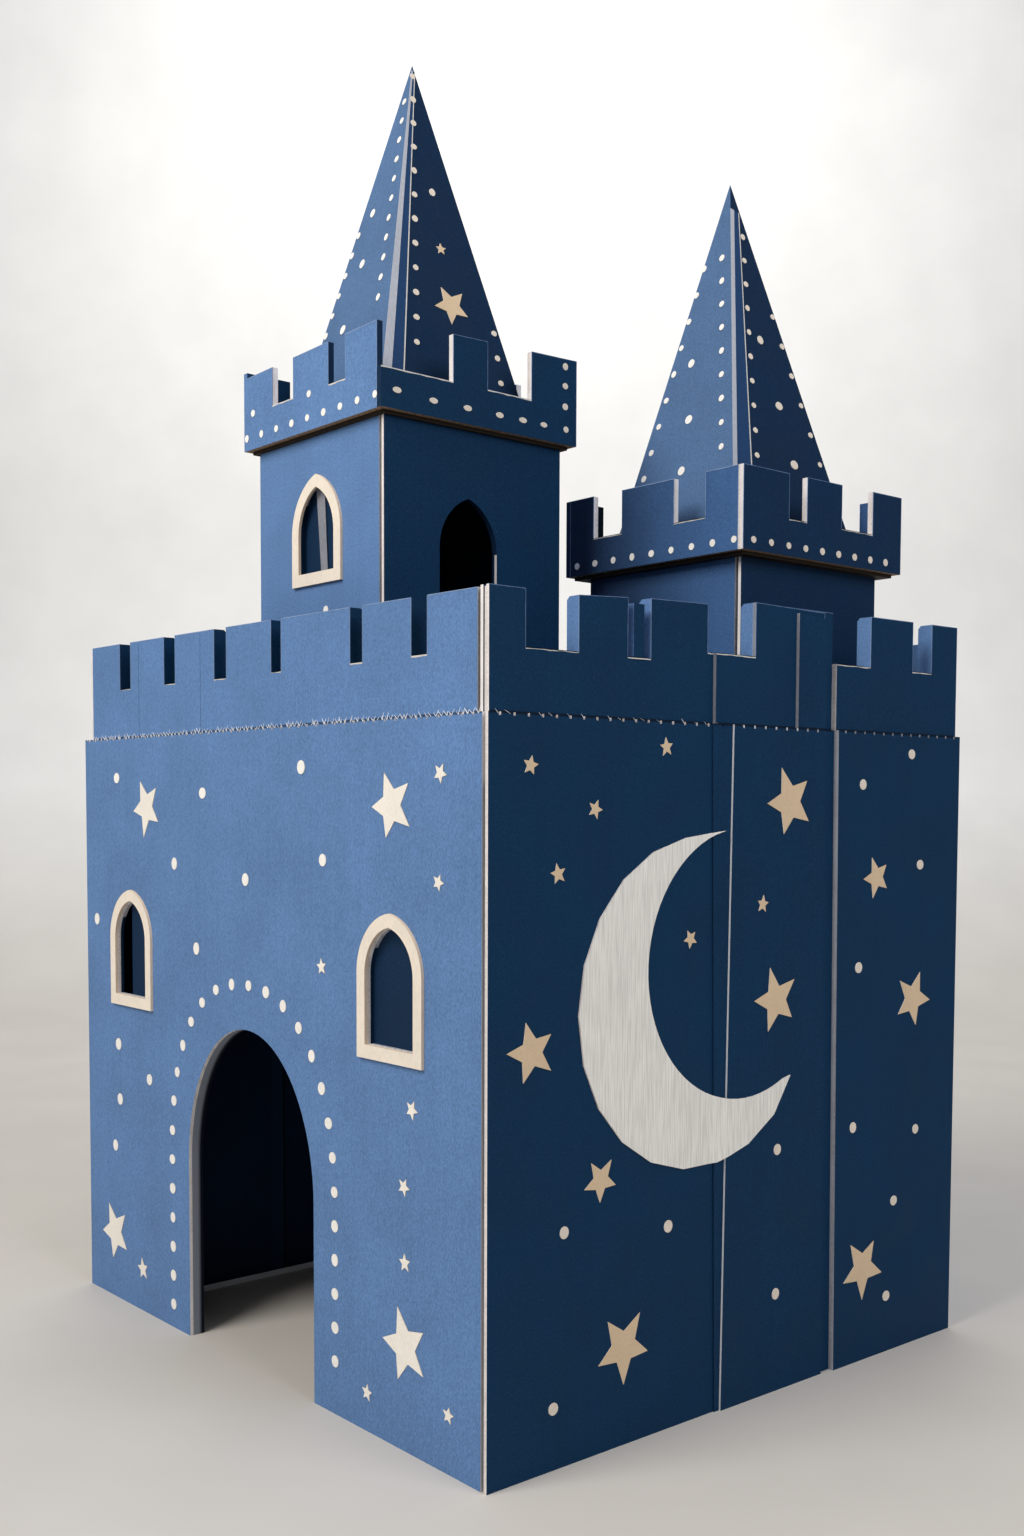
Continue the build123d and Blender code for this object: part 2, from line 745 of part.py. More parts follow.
side_stars = [((y_front + place[0], place[1]), radius, turn) for place, radius, turn in right_big_stars]
side_stars += [(place, small_star, small_star_turn) for place in from_corner(right_small_stars)]
overlay_stars = [((y_front + place[0], place[1]), radius, turn) for place, radius, turn in overlay_big_stars]
overlay_stars += [(place, small_star, small_star_turn) for place in from_corner(overlay_small_stars)]
back_stars = [((y_front + place[0], place[1]), radius, turn) for place, radius, turn in back_panel_stars]
side_face = wall_plane("right", x_right)
overlay_face = wall_plane("right", x_right + board)
back_panel_face = wall_plane("right", x_right + back_step)
paper_stars("right_wall_stars",
            [(side_face, side_stars), (overlay_face, overlay_stars), (back_panel_face, back_stars)])
paper_dots("right_wall_dots", wall_dot,
           [(side_face, from_corner(right_dots)), (overlay_face, from_corner(overlay_dots)),
            (back_panel_face, from_corner(back_panel_dots))])


def spire_plane(centre, side, spire_width, base_z, tip_z, lean):
    """The plane of a spire face; its origin is the tip and its local y points up the slope."""
    cx, cy = centre
    half = spire_width / 2
    tip = Vector(cx + lean[0], cy + lean[1], tip_z)
    foot = Vector(cx, cy - half, base_z) if side == "front" else Vector(cx + half, cy, base_z)
    run = Vector(1, 0, 0) if side == "front" else Vector(0, 1, 0)
    up = (tip - foot).normalized()
    return Plane(origin=tip, x_dir=run, z_dir=run.cross(up))


def down(places):
    """Places given as distance across a spire face and distance down from its tip."""
    return [(across, -drop) for across, drop in places]


def placed(origin, places):
    return [(origin[0] + across, origin[1] + lift) for across, lift in places]


# First tower: dots on the collar, one on the front, rows up both roof faces, and two stars
tower_1_base = tower_1_deck + board
collar_1_reach = collar_1_width / 2
roof_1_front = spire_plane(tower_1_place, "front", spire_1_width, tower_1_base, spire_1_tip, spire_1_lean)
roof_1_right = spire_plane(tower_1_place, "right", spire_1_width, tower_1_base, spire_1_tip, spire_1_lean)
paper_stars("tower_1_stars", [(roof_1_right, [((4, -218), 17, 100), ((0, -169), 5.5, 90)])])
paper_dots("tower_1_dots", tower_dot, [
    (wall_plane("front", tower_1_place[1] - collar_1_reach),
     placed((tower_1_place[0], collar_1_bottom), row((-80, 10), (80, 10), 8) + [(-80, 29), (4, 28)])),
    (wall_plane("right", tower_1_place[0] + collar_1_reach),
     placed((tower_1_place[1], collar_1_bottom), row((-85, 10), (84, 10), 7) + row((85, 27), (85, 60), 3))),
    (wall_plane("front", tower_1_front),
     [(tower_1_place[0] + 11, 595)]),
    (roof_1_front,
     down(row((0, 40), (27, 217), 11) + row((-31, 147), (-49, 227), 6)
          + [(-12, 134), (-11, 178), (-20, 232)])),
    (roof_1_right,
     down(row((2, 36), (-41, 273), 12) + row((46, 233), (43, 276), 3) + [(2, 122)])),
])

# Second tower: dots on the collar and rows up both roof faces
tower_2_base = tower_2_deck + board
collar_2_reach = collar_2_width / 2
roof_2_front = spire_plane(tower_2_place, "front", spire_2_width, tower_2_base, spire_2_tip, spire_2_lean)
roof_2_right = spire_plane(tower_2_place, "right", spire_2_width, tower_2_base, spire_2_tip, spire_2_lean)
paper_dots("tower_2_dots", tower_dot, [
    (wall_plane("front", tower_2_place[1] - collar_2_reach),
     placed((tower_2_place[0], collar_2_bottom), row((-86, 8), (86, 8), 9))),
    (wall_plane("right", tower_2_place[0] + collar_2_reach),
     placed((tower_2_place[1], collar_2_bottom), row((-88, 8), (79, 8), 9))),
    (roof_2_front,
     down(row((0, 65), (37, 237), 9) + row((-17, 69), (-48, 249), 9)
          + [(-11, 154), (-2, 205), (0, 250)])),
    (roof_2_right,
     down(row((4, 45), (-30, 244), 10) + row((23, 113), (51, 241), 6) + [(8, 195), (14, 246)])),
])
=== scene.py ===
# %% [markdown]
# # A cardboard castle: colour, paper and cut edges
# The frame gives every board of the castle in its real place. This script gives those boards their
# look: printed paper liners, raw corrugated edges, torn perforations and glued paper stars. All
# lengths below are real sizes in millimetres, turned into metres once, by `mm`.

# %% Load the fixed frame
import math
import random

import bmesh
import bpy
from mathutils import Matrix, Vector


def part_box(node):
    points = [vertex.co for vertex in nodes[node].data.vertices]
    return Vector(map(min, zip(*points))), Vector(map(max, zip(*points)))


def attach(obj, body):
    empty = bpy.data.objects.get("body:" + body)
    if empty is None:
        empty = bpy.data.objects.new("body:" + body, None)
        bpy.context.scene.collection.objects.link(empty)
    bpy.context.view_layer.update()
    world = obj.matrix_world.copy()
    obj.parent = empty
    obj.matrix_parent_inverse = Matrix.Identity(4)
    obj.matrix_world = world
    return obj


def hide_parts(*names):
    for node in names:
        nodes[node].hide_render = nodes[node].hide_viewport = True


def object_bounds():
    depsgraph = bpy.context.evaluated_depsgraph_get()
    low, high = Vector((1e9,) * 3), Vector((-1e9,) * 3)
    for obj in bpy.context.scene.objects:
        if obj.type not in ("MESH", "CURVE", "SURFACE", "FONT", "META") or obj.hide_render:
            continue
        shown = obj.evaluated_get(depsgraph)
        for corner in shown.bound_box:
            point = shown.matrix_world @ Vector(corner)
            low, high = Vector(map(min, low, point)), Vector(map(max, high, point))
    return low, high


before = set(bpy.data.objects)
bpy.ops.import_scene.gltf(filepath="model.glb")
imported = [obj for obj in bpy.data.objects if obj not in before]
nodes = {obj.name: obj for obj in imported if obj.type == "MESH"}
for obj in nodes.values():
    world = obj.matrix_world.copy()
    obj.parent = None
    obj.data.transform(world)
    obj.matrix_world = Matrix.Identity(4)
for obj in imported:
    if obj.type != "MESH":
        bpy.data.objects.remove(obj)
cad_low, cad_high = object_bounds()
mm = 0.001
print("nodes", len(nodes), "size", [round(high - low, 4) for low, high in zip(cad_low, cad_high)])

# %% [markdown]
# ## Places that the frame already knows
# What is cut or glued further down has to lie on the right board, so the boards' faces are read
# from the frame, in millimetres and to a hundredth.

# %% Read places from the frame
X, Y, Z = 0, 1, 2


def start_of(name, axis):
    """Where a board starts along an axis."""
    return round(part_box(name)[0][axis] / mm, 2)


def end_of(name, axis):
    """Where a board ends along an axis."""
    return round(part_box(name)[1][axis] / mm, 2)


def middle_of(name, axis):
    return round((start_of(name, axis) + end_of(name, axis)) / 2, 2)


wall_top = end_of("front_wall", Z)
merlon_top = end_of("front_parapet", Z)
x_left = start_of("front_wall", X)
y_front = start_of("front_wall", Y)
wall_face = end_of("right_wall", X)
overlay_face = end_of("right_overlay", X)
panel_face = end_of("right_back_panel", X)
front_middle = round((x_left + wall_face) / 2, 2)
tower_1_place = (middle_of("tower_1_skin", X), middle_of("tower_1_skin", Y))
tower_2_place = (middle_of("tower_2_skin", X), middle_of("tower_2_skin", Y))
print("wall top", wall_top, "front", y_front, "right", wall_face)
print("towers", tower_1_place, tower_2_place)

# %% [markdown]
# ## One helper for shader nodes, one for colours
# A shader is a graph of small nodes. One function adds any of them: a plain value is set on its
# socket, and another node's output is linked to it. Colours are written as the screen shows them
# and turned into the linear values that light is added up in.

# %% Node and colour helpers


def add(tree, kind, inputs=(), **settings):
    """Adds one node; inputs maps a socket's name or number to a value or to another output."""
    node = tree.nodes.new(kind)
    for name, value in settings.items():
        setattr(node, name, value)
    for key, value in dict(inputs).items():
        set_input(tree, node, key, value)
    return node


def set_input(tree, node, key, value):
    """Links an output to a node's input, or sets the input to a plain value."""
    if isinstance(value, bpy.types.NodeSocket):
        tree.links.new(value, node.inputs[key])
    else:
        node.inputs[key].default_value = value


def colour(text):
    """A screen colour such as "#6785af" as linear red, green, blue and full alpha."""
    parts = [int(text[i:i + 2], 16) / 255 for i in (1, 3, 5)]
    linear = [p / 12.92 if p <= 0.04045 else ((p + 0.055) / 1.055) ** 2.4 for p in parts]
    return tuple(linear) + (1.0,)


def start_material(name):
    """A new material with its tree, its shader node and the object coordinates in metres."""
    material = bpy.data.materials.new(name)
    material.use_nodes = True
    tree = material.node_tree
    shader = tree.nodes["Principled BSDF"]
    place = add(tree, "ShaderNodeTexCoord").outputs["Object"]
    return material, tree, shader, place


def finish_material(tree, shader, paint, roughness, specular):
    set_input(tree, shader, "Base Color", paint)
    set_input(tree, shader, "Roughness", roughness)
    shader.inputs["Specular IOR Level"].default_value = specular


def bumped(tree, shader, height, strength, depth):
    """Relief that is depth millimetres high."""
    settings = {"Height": height, "Strength": strength, "Distance": depth * mm}
    tree.links.new(add(tree, "ShaderNodeBump", settings).outputs[0], shader.inputs["Normal"])


def maths(tree, operation, *values):
    """One sum on values or outputs."""
    return add(tree, "ShaderNodeMath", dict(enumerate(values)), operation=operation).outputs[0]


def grain(tree, place, size, stretch=(1, 1, 1), detail=2.0):
    """Noise whose blobs are about size millimetres across, longer along the stretched axes."""
    scale = [1 / (size * mm * s) for s in stretch]
    spot = add(tree, "ShaderNodeMapping", {"Vector": place, "Scale": scale}).outputs[0]
    noise = add(tree, "ShaderNodeTexNoise", {"Vector": spot, "Scale": 1.0, "Detail": detail})
    return noise.outputs["Fac"]


def between(tree, value, low, high, to_low, to_high):
    """Value rescaled from low..high to to_low..to_high and held inside that range."""
    values = dict(enumerate((value, low, high, to_low, to_high)))
    return add(tree, "ShaderNodeMapRange", values).outputs["Result"]


def blend(tree, share, first, second, mode="MIX"):
    """Two colours mixed: share 0 gives the first, share 1 the second."""
    node = add(tree, "ShaderNodeMix", {0: share, 6: first, 7: second},
               data_type="RGBA", blend_type=mode)
    return node.outputs[2]


def shade(tree, paint, factor):
    """A colour made lighter or darker by a factor."""
    grey = add(tree, "ShaderNodeCombineColor", {0: factor, 1: factor, 2: factor}).outputs[0]
    return blend(tree, 1.0, paint, grey, "MULTIPLY")


def mottled(tree, paint, noise, dark, light, low=0.3, high=0.7):
    """A colour shaded from dark to light by a noise, whose middle stretch does the work."""
    return shade(tree, paint, between(tree, noise, low, high, dark, light))


# The mask for painted light: lit colours on forward faces, shaded ones on sideways faces
def facing_front(tree):
    """1 on faces that look forward or back, 0 on faces that look sideways or up."""
    normal = add(tree, "ShaderNodeNewGeometry").outputs["Normal"]
    return maths(tree, "ABSOLUTE", add(tree, "ShaderNodeSeparateXYZ", {0: normal}).outputs["Y"])


def flute_wave(tree, spot):
    """A wave from -1 to 1 at the pitch of the flutes, whichever way the sheet runs."""
    along = maths(tree, "ADD", spot.outputs["X"], spot.outputs["Y"])
    return maths(tree, "SINE", maths(tree, "MULTIPLY", along, math.tau / (flute_pitch * mm)))


print("helpers ready")

# %% [markdown]
# ## Printed liner paper
# The boards are faced with printed blue paper. Faces that look forward or back are a pale denim
# blue and faces that look sideways a deep navy; this split is painted light and sheen on the blue
# print, lit forward faces and shaded sideways ones, so the colour follows the way a face points,
# and a folded corner turns from one to the other over its bend. Real liner is never even: ink lies
# in
# cloudy patches, fibres show as a fine linen-like speckle, and the flutes inside telegraph through
# as faint upright stripes 7.5 mm apart. Each of these is one noise at its own real size.

# %% Liner material
flute_pitch = 7.5
cloud_size = 55
fibre_size = 0.75
fibre_length = 1.8
speck_size = 0.8
rub_width = 3.5
rub_length = 105
# Colour of the fibre dust and of the painted sheen on forward faces
dust_and_sheen_tint = "#c8d4e6"
rim_tint = "#8f96a3"
crease_fade = 0.5           # a crease ends over half a millimetre


def line_mask(tree, spot, axis, at, half_width, low, high):
    """1 on a thin line across the axis at a place, between two heights, and 0 away from it."""
    off = maths(tree, "ABSOLUTE", maths(tree, "SUBTRACT", spot.outputs[axis], at * mm))
    line = between(tree, off, half_width * mm * 0.4, half_width * mm, 1.0, 0.0)
    above = between(tree, spot.outputs["Z"], (low - crease_fade) * mm, low * mm, 0.0, 1.0)
    below = between(tree, spot.outputs["Z"], high * mm, (high + crease_fade) * mm, 1.0, 0.0)
    return maths(tree, "MULTIPLY", maths(tree, "MULTIPLY", line, above), below)


def liner(name, front, side, speckle=0.2, dust_and_sheen_share=0.16, creases=(), shadow_fade=None, rim=None):
    """Printed paper on board; front and side are its painted lit and shaded colours by facing."""
    material, tree, shader, place = start_material(name)
    spot = add(tree, "ShaderNodeSeparateXYZ", {0: place})
    facing = facing_front(tree)
    # Painted light: forward faces take the lit front colour, sideways faces the shaded side colour
    paint = blend(tree, between(tree, facing, 0.45, 0.9, 0, 1), colour(side), colour(front))
    # Ink lies a little thicker and thinner in patches the size of a hand
    clouds = grain(tree, place, cloud_size, detail=3.0)
    paint = mottled(tree, paint, clouds, 0.93, 1.07)
    # Fibres: short upright flecks about a millimetre wide
    fibres = grain(tree, place, fibre_size, (1, 1, fibre_length / fibre_size), detail=3.0)
    paint = mottled(tree, paint, fibres, 1 - speckle, 1 + speckle, 0.32, 0.68)
    # Fibre dust where the print misses, plus painted sheen: thicker on forward faces than navy
    # sides
    dust_and_sheen = between(tree, grain(tree, place, speck_size, detail=1.0), 0.66, 0.8, 0.0, dust_and_sheen_share)
    dust_and_sheen = maths(tree, "MULTIPLY", dust_and_sheen, between(tree, facing, 0.45, 0.9, 0.4, 1.0))
    paint = blend(tree, dust_and_sheen, paint, colour(dust_and_sheen_tint))
    # Upright streaks where the sheet was rubbed along its flutes
    streaks = grain(tree, place, rub_width, (1, 1, rub_length / rub_width))
    paint = mottled(tree, paint, streaks, 0.98, 1.02, 0.35, 0.65)
    # Flutes press through: faint upright stripes across whichever way the sheet runs
    stripes = flute_wave(tree, spot)
    paint = mottled(tree, paint, stripes, 0.997, 1.003, -1, 1)
    # Painted shadow: the sheet stands in the shade of another tower and darkens along an axis
    if shadow_fade:
        axis, dark_end, light_end = shadow_fade
        paint = mottled(tree, paint, spot.outputs[axis], 0.25, 1.1, dark_end * mm, light_end * mm)
    # Rim: raw, paler board behind an opening's cut edge, plus painted light fading inwards
    if rim:
        pale = between(tree, spot.outputs["Y"], rim[0] * mm, rim[1] * mm, 0.85, 0.0)
        paint = blend(tree, pale, paint, colour(rim_tint))
    # Creases: lines pressed or scored into the board, painted darker as the shade in them
    for axis, at, half_width, low, high, depth in creases:
        mark = line_mask(tree, spot, axis, at, half_width, low, high)
        paint = mottled(tree, paint, mark, 1.0, 1 - depth, 0, 1)
    finish_material(tree, shader, paint, between(tree, clouds, 0.3, 0.7, 0.6, 0.75), 0.12)
    bumped(tree, shader, maths(tree, "MULTIPLY_ADD", stripes, 0.06, fibres), 0.35, 0.12)
    return material


# Each liner's first colour is its painted lit front, its second its painted shaded side
lit_front_denim, shaded_side_navy = "#6083b3", "#08304f"
# Painted shadow along the torn perforation at the wall's top, and painted shade in the score lines
tear_shadow_line = ("Z", wall_top, 1.4, 0, 600, 0.75)
score_places = (-190, -83)
scores = [("X", place, 0.5, wall_top, merlon_top, 0.55) for place in score_places]
sheet_blue = liner("blue_printed_liner", lit_front_denim, shaded_side_navy, creases=[tear_shadow_line])
scored_blue = liner("scored_blue_liner", lit_front_denim, shaded_side_navy, creases=[tear_shadow_line] + scores)
roof_blue = liner("roof_blue_liner", "#527098", "#0a2744")
# The second tower's darker blues and fade are painted shadow of the first tower
far_blue = liner("shaded_blue_liner", "#3f6190", "#0a2946", shadow_fade=("X", 60, 210))
core_navy = liner("navy_printed_liner", "#0e2b48", "#0c2743", speckle=0.15, dust_and_sheen_share=0.05)
# The door lining's near-black is painted shade inside the doorway; its rim is partly painted light
door_shade_lining = liner("door_lining_painted_shade", "#0b1524", "#08111f", speckle=0.15, dust_and_sheen_share=0.03,
                    rim=(-243, -240))
print("liners", sheet_blue.name, scored_blue.name, core_navy.name)

# %% [markdown]
# ## Raw edges of corrugated board
# Where a board is cut, its thickness shows two pale paper liners with a wave of brown fluting
# between them. The wave is drawn from the real pitch. On thin boards seen from afar it only makes
# the white line a little uneven, which is what keeps such a line from looking painted on.

# %% Edge material
fuzz_size = 1.6
edge_patch = 14


def raw_edge(name, liner_colour, flute_colour, share=0.55):
    """Cut board: pale liners with darker fluting that shows through in waves."""
    material, tree, shader, place = start_material(name)
    wave = flute_wave(tree, add(tree, "ShaderNodeSeparateXYZ", {0: place}))
    fuzz = grain(tree, place, fuzz_size, detail=3.0)
    dark = between(tree, maths(tree, "MULTIPLY_ADD", wave, 0.25, fuzz), 0.5, 0.95, 0.0, share)
    paint = blend(tree, dark, colour(liner_colour), colour(flute_colour))
    paint = mottled(tree, paint, grain(tree, place, edge_patch), 0.9, 1.05)
    finish_material(tree, shader, paint, 0.85, 0.2)
    bumped(tree, shader, fuzz, 0.5, 0.2)
    return material


white_edge = raw_edge("white_cut_board_edge", "#ece7e6", "#b9a79a")
grey_edge = raw_edge("grey_cut_board_edge", "#b4b6bf", "#7c7a80")
tan_edge = raw_edge("tan_cut_board_edge", "#a98a6c", "#5f4a39")
print("edges", white_edge.name, grey_edge.name, tan_edge.name)

# %% [markdown]
# ## Papers glued on
# The window frames are unprinted cream board, the moon an off-white board whose upright flutes
# show as fine grey scratches, and the stars and dots punched paper with a slight tooth.

# %% Paper materials
paper_patch = 30
tooth_size = 0.5


def plain_paper(name, base, streak_width, streak_length, streak_dark, cloud_dark=0.05, side=None):
    """Unprinted paper, streaked and patchy; side is its painted shaded colour where it faces
    sideways.
    """
    material, tree, shader, place = start_material(name)
    # Painted light: forward faces take the lit base colour, sideways faces the shaded side colour
    facing = between(tree, facing_front(tree), 0.45, 0.8, 0, 1)
    paint = blend(tree, facing, colour(side or base), colour(base))
    streaks = grain(tree, place, streak_width, (1, 1, streak_length / streak_width), detail=3.0)
    paint = mottled(tree, paint, streaks, 1 - streak_dark, 1.02, 0.35, 0.62)
    clouds = grain(tree, place, paper_patch)
    paint = mottled(tree, paint, clouds, 1 - cloud_dark, 1.02)
    paint = mottled(tree, paint, grain(tree, place, tooth_size), 0.97, 1.03)
    finish_material(tree, shader, paint, between(tree, clouds, 0.3, 0.7, 0.6, 0.75), 0.15)
    bumped(tree, shader, streaks, 0.3, 0.15)
    return material


# A second colour is the painted shade on faces that look sideways
frame_cream = plain_paper("cream_window_board", "#f2e7d7", 1.5, 5, 0.05, side="#ead2b9")
moon_white = plain_paper("off_white_moon_board", "#f3efe6", 0.8, 26, 0.2)
star_gold = plain_paper("tan_star_paper", "#f9f3e8", 1.2, 2, 0.05, side="#dcc2a0")
dot_white = plain_paper("off_white_dot_paper", "#fbf8f2", 1.2, 2, 0.05, side="#e6d9c8")
# Pale cut lines: torn liner plus painted highlight where cut edges catch light
pale_cut_and_highlight = plain_paper("pale_cut_and_highlight_paper", "#d9d5cf", 0.8, 2, 0.12)
dull_cut = plain_paper("dull_cut_board_edge", "#8f929c", 0.8, 3, 0.2)
# Its pale blue is partly torn liner, partly painted highlight on cut edges
blue_cut_and_highlight = plain_paper("pale_blue_cut_and_highlight_paper", "#8ea6cc", 0.8, 2, 0.15, side="#5d7599")
torn_white = plain_paper("torn_white_paper", "#eceef2", 0.6, 2, 0.08)
slot_blue = plain_paper("plain_blue_inner_roof", "#3a5a86", 1.2, 6, 0.1, side="#1f4069")
tab_grey = plain_paper("grey_folded_tab", "#b9bcc4", 1.2, 6, 0.1)
# Packing and decks are coloured near black-brown: painted shadow under the collars
packing_shadow_brown = plain_paper("packing_board_painted_shadow", "#33291f", 1.2, 4, 0.15, cloud_dark=0.15)
print("papers ready")

# %% [markdown]
# ## Which face is printed and which is cut
# A board is thin, so its faces sort themselves: those that point the way the sheet faces are
# liner, and the others are cut edges. Battlement sheets are different, because their notches were
# folded in as flaps and show printed paper at their sides, so only their tops, floors and two ends
# are raw.

# %% Give each board its liner and its raw edge


def paint_node(name, face, edge, is_edge):
    """Puts two materials on a CAD node and sorts its faces by the test is_edge(normal, centre)."""
    mesh = nodes[name].data
    mesh.materials.clear()
    mesh.materials.append(face)
    mesh.materials.append(edge)
    for polygon in mesh.polygons:
        polygon.material_index = 1 if is_edge(polygon.normal, polygon.center) else 0


def sheet_edge(axis):
    """The test for a sheet that faces along an axis."""
    return lambda normal, centre: abs(normal[axis]) < 0.5


def level_face(normal, centre):
    return abs(normal.z) > 0.5


def upright_face(normal, centre):
    return abs(normal.z) < 0.5


def under_face(normal, centre):
    return normal.z < -0.5


def parapet_edge(name, run):
    """Tops, notch floors and the sheet's two ends along its run."""
    low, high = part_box(name)
    slack = 0.1 * mm

    def test(normal, centre):
        at_end = centre[run] < low[run] + slack or centre[run] > high[run] - slack
        return level_face(normal, centre) or at_end
    return test


def near_end_only(normal, centre):
    """The right wall's far end lies under the seam strip, so only its other edges show raw."""
    far_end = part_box("right_wall")[1].y - 20 * mm
    return abs(normal.x) < 0.5 and centre.y < far_end


for name in ("front_wall", "back_wall"):
    paint_node(name, sheet_blue, white_edge, sheet_edge(Y))
for name in ("left_wall", "right_parapet_overlay", "right_parapet_patch", "corner_strip",
             "corner_backing", "parapet_tongue"):
    paint_node(name, sheet_blue, white_edge, sheet_edge(X))
for name, edge in (("right_seam_strip", core_navy), ("right_overlay", torn_white),
                   ("right_back_panel", grey_edge)):
    paint_node(name, sheet_blue, edge, sheet_edge(X))
paint_node("right_wall", sheet_blue, white_edge, near_end_only)
paint_node("front_parapet", scored_blue, white_edge, parapet_edge("front_parapet", X))
for name, run in (("back_parapet", X), ("left_parapet", Y), ("right_parapet", Y),
                  ("right_parapet_back", Y)):
    paint_node(name, sheet_blue, white_edge, parapet_edge(name, run))
for name in ("inner_carton", "inner_partition", "left_window_backing", "right_window_backing",
             "tower_1_window_backing", "tower_1_core", "tower_2_core"):
    paint_node(name, core_navy, grey_edge, level_face)
paint_node("roof_deck", core_navy, grey_edge, upright_face)
paint_node("door_lining", door_shade_lining, grey_edge, lambda normal, centre: normal.y < -0.7)
print("sheets painted")

# %% [markdown]
# ## Towers, collars and papers
# A tower's sheet is wrapped round it and glued, and stops short of the near corner on both sides,
# so it is raw along the top, the bottom and those two ends. Collar boards are thick and are seen
# from below, where the brown fluting shows. Glued papers are one paper all over.

# %% Paint the towers
wrap_board = 2.9
wrap_reveal = 6.5


def skin_edge(name):
    """Top and bottom, the two raw ends near the corner, and the side opening's far jamb."""
    low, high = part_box(name)
    board_line = high.x - wrap_board * mm

    def test(normal, centre):
        near = centre.y < low.y + wrap_board * mm and centre.x > high.x - wrap_reveal * mm
        end_right = near and normal.x > 0.9 and centre.x < board_line
        end_front = near and normal.y < -0.9 and centre.x > board_line
        jamb = normal.y < -0.9 and centre.x > board_line and centre.y > low.y + 20 * mm
        return abs(normal.z) > 0.9 or end_right or end_front or jamb
    return test


for tower, skin_paper in (("tower_1", sheet_blue), ("tower_2", far_blue)):
    paint_node(f"{tower}_skin", skin_paper, white_edge, skin_edge(f"{tower}_skin"))
    for side, axis in (("front", Y), ("back", Y), ("left", X), ("right", X)):
        name = f"{tower}_collar_{side}"
        paint_node(name, skin_paper, white_edge, sheet_edge(axis))
        mesh = nodes[name].data
        mesh.materials.append(tan_edge)
        for polygon in mesh.polygons:
            if under_face(polygon.normal, polygon.center):
                polygon.material_index = 2
            if side == "left" and polygon.normal.y < -0.9:
                polygon.material_index = 0
    # Painted shadow: packing and deck sit dark beneath the collar
    paint_node(f"{tower}_packing", packing_shadow_brown, packing_shadow_brown, upright_face)
    paint_node(f"{tower}_deck", packing_shadow_brown, tan_edge, upright_face)
    paint_node(f"{tower}_spire_core", core_navy, grey_edge, under_face)
    paint_node(f"{tower}_spire_skin", sheet_blue, white_edge, under_face)
for paper, names in (
        (frame_cream, ("left_window_frame", "right_window_frame", "tower_1_window_frame")),
        (star_gold, ("front_wall_stars", "right_wall_stars", "tower_1_stars")),
        (dot_white, ("front_wall_dots", "right_wall_dots", "tower_1_dots", "tower_2_dots"))):
    for name in names:
        paint_node(name, paper, paper, sheet_edge(Y))
paint_node("moon", moon_white, white_edge, sheet_edge(X))
print("towers painted; nodes without our materials:",
      [name for name, node in nodes.items() if len(node.data.materials) < 2])

# %% [markdown]
# ## Pieces made here: a few helpers
# Some boards were cut and folded by hand, so they are not quite as regular as the frame has them.
# Those are cut again here. A sheet is an outline on a wall, drawn as one face and extruded by the
# board's thickness, which is how real board is made too: a flat outline with one thickness. Places
# on a wall are given as distance across and height, so one pair of numbers works for front and
# right.

# %% Helpers for own pieces
board = 2.8
faces_of = {"front": Vector((0, -1, 0)), "right": Vector((1, 0, 0))}


def on_wall(side, reach, across, up):
    """A point on the front or the right side, reach millimetres out along that side's axis."""
    if side == "front":
        return Vector((across, reach, up)) * mm
    return Vector((reach, across, up)) * mm


def corners_of(side, reach, outline):
    return [on_wall(side, reach, across, up) for across, up in outline]


def push_out(work, faces, offset):
    """Makes flat faces into closed solids: their extruded copies are moved by the offset."""
    pushed = bmesh.ops.extrude_face_region(work, geom=faces)["geom"]
    moved = [item for item in pushed if isinstance(item, bmesh.types.BMVert)]
    bmesh.ops.translate(work, verts=moved, vec=offset)


def extruded(work, corners, offset):
    """A closed solid: one face drawn through the corners and pushed by the offset."""
    push_out(work, [work.faces.new([work.verts.new(corner) for corner in corners])], offset)


def mesh_from(name, work, materials):
    mesh = bpy.data.meshes.new(name)
    work.to_mesh(mesh)
    work.free()
    for material in materials:
        mesh.materials.append(material)
    return mesh


def in_scene(name, data):
    """A new object in the scene."""
    item = bpy.data.objects.new(name, data)
    bpy.context.scene.collection.objects.link(item)
    return item


def finish_piece(name, work, materials, sort=None, replaces=None):
    """Makes a bmesh a piece that rides on the castle; sort gives each face's material number."""
    bmesh.ops.recalc_face_normals(work, faces=work.faces)
    mesh = mesh_from(name, work, materials)
    for polygon in mesh.polygons if sort else ():
        polygon.material_index = int(sort(polygon.normal, polygon.center))
    piece = in_scene(name, mesh)
    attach(piece, "root")
    if replaces:
        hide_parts(replaces)
    print("made", name, len(mesh.polygons), "faces")
    return piece


def flat_piece(name, side, reach, outline, depth, materials, sort=None, replaces=None):
    """One flat piece: an outline on a side, made into board that goes depth millimetres inwards."""
    work = bmesh.new()
    extruded(work, corners_of(side, reach, outline), -faces_of[side] * depth * mm)
    return finish_piece(name, work, materials, sort, replaces)


def rectangle(start, end, low, high):
    return [(start, low), (end, low), (end, high), (start, high)]


print("helpers for pieces ready")

# %% [markdown]
# ## Battlement sheets
# Each notch was cut on three sides as a little door, halved and folded in, so two shallow flaps of
# printed board stand behind its sides. The notches are hand-placed: their pitch wanders and no two
# are the same width. Outside corners of the flaps are snipped off.

# %% Battlement sheets
notch_floor = 540
third_floor = 550           # the notches of the overlay and the back panel are shallower
deck_top = end_of("roof_deck", Z)
flap_depth = 9
flap_snip = 2.5
back_board = 7.4
back_flap = 6


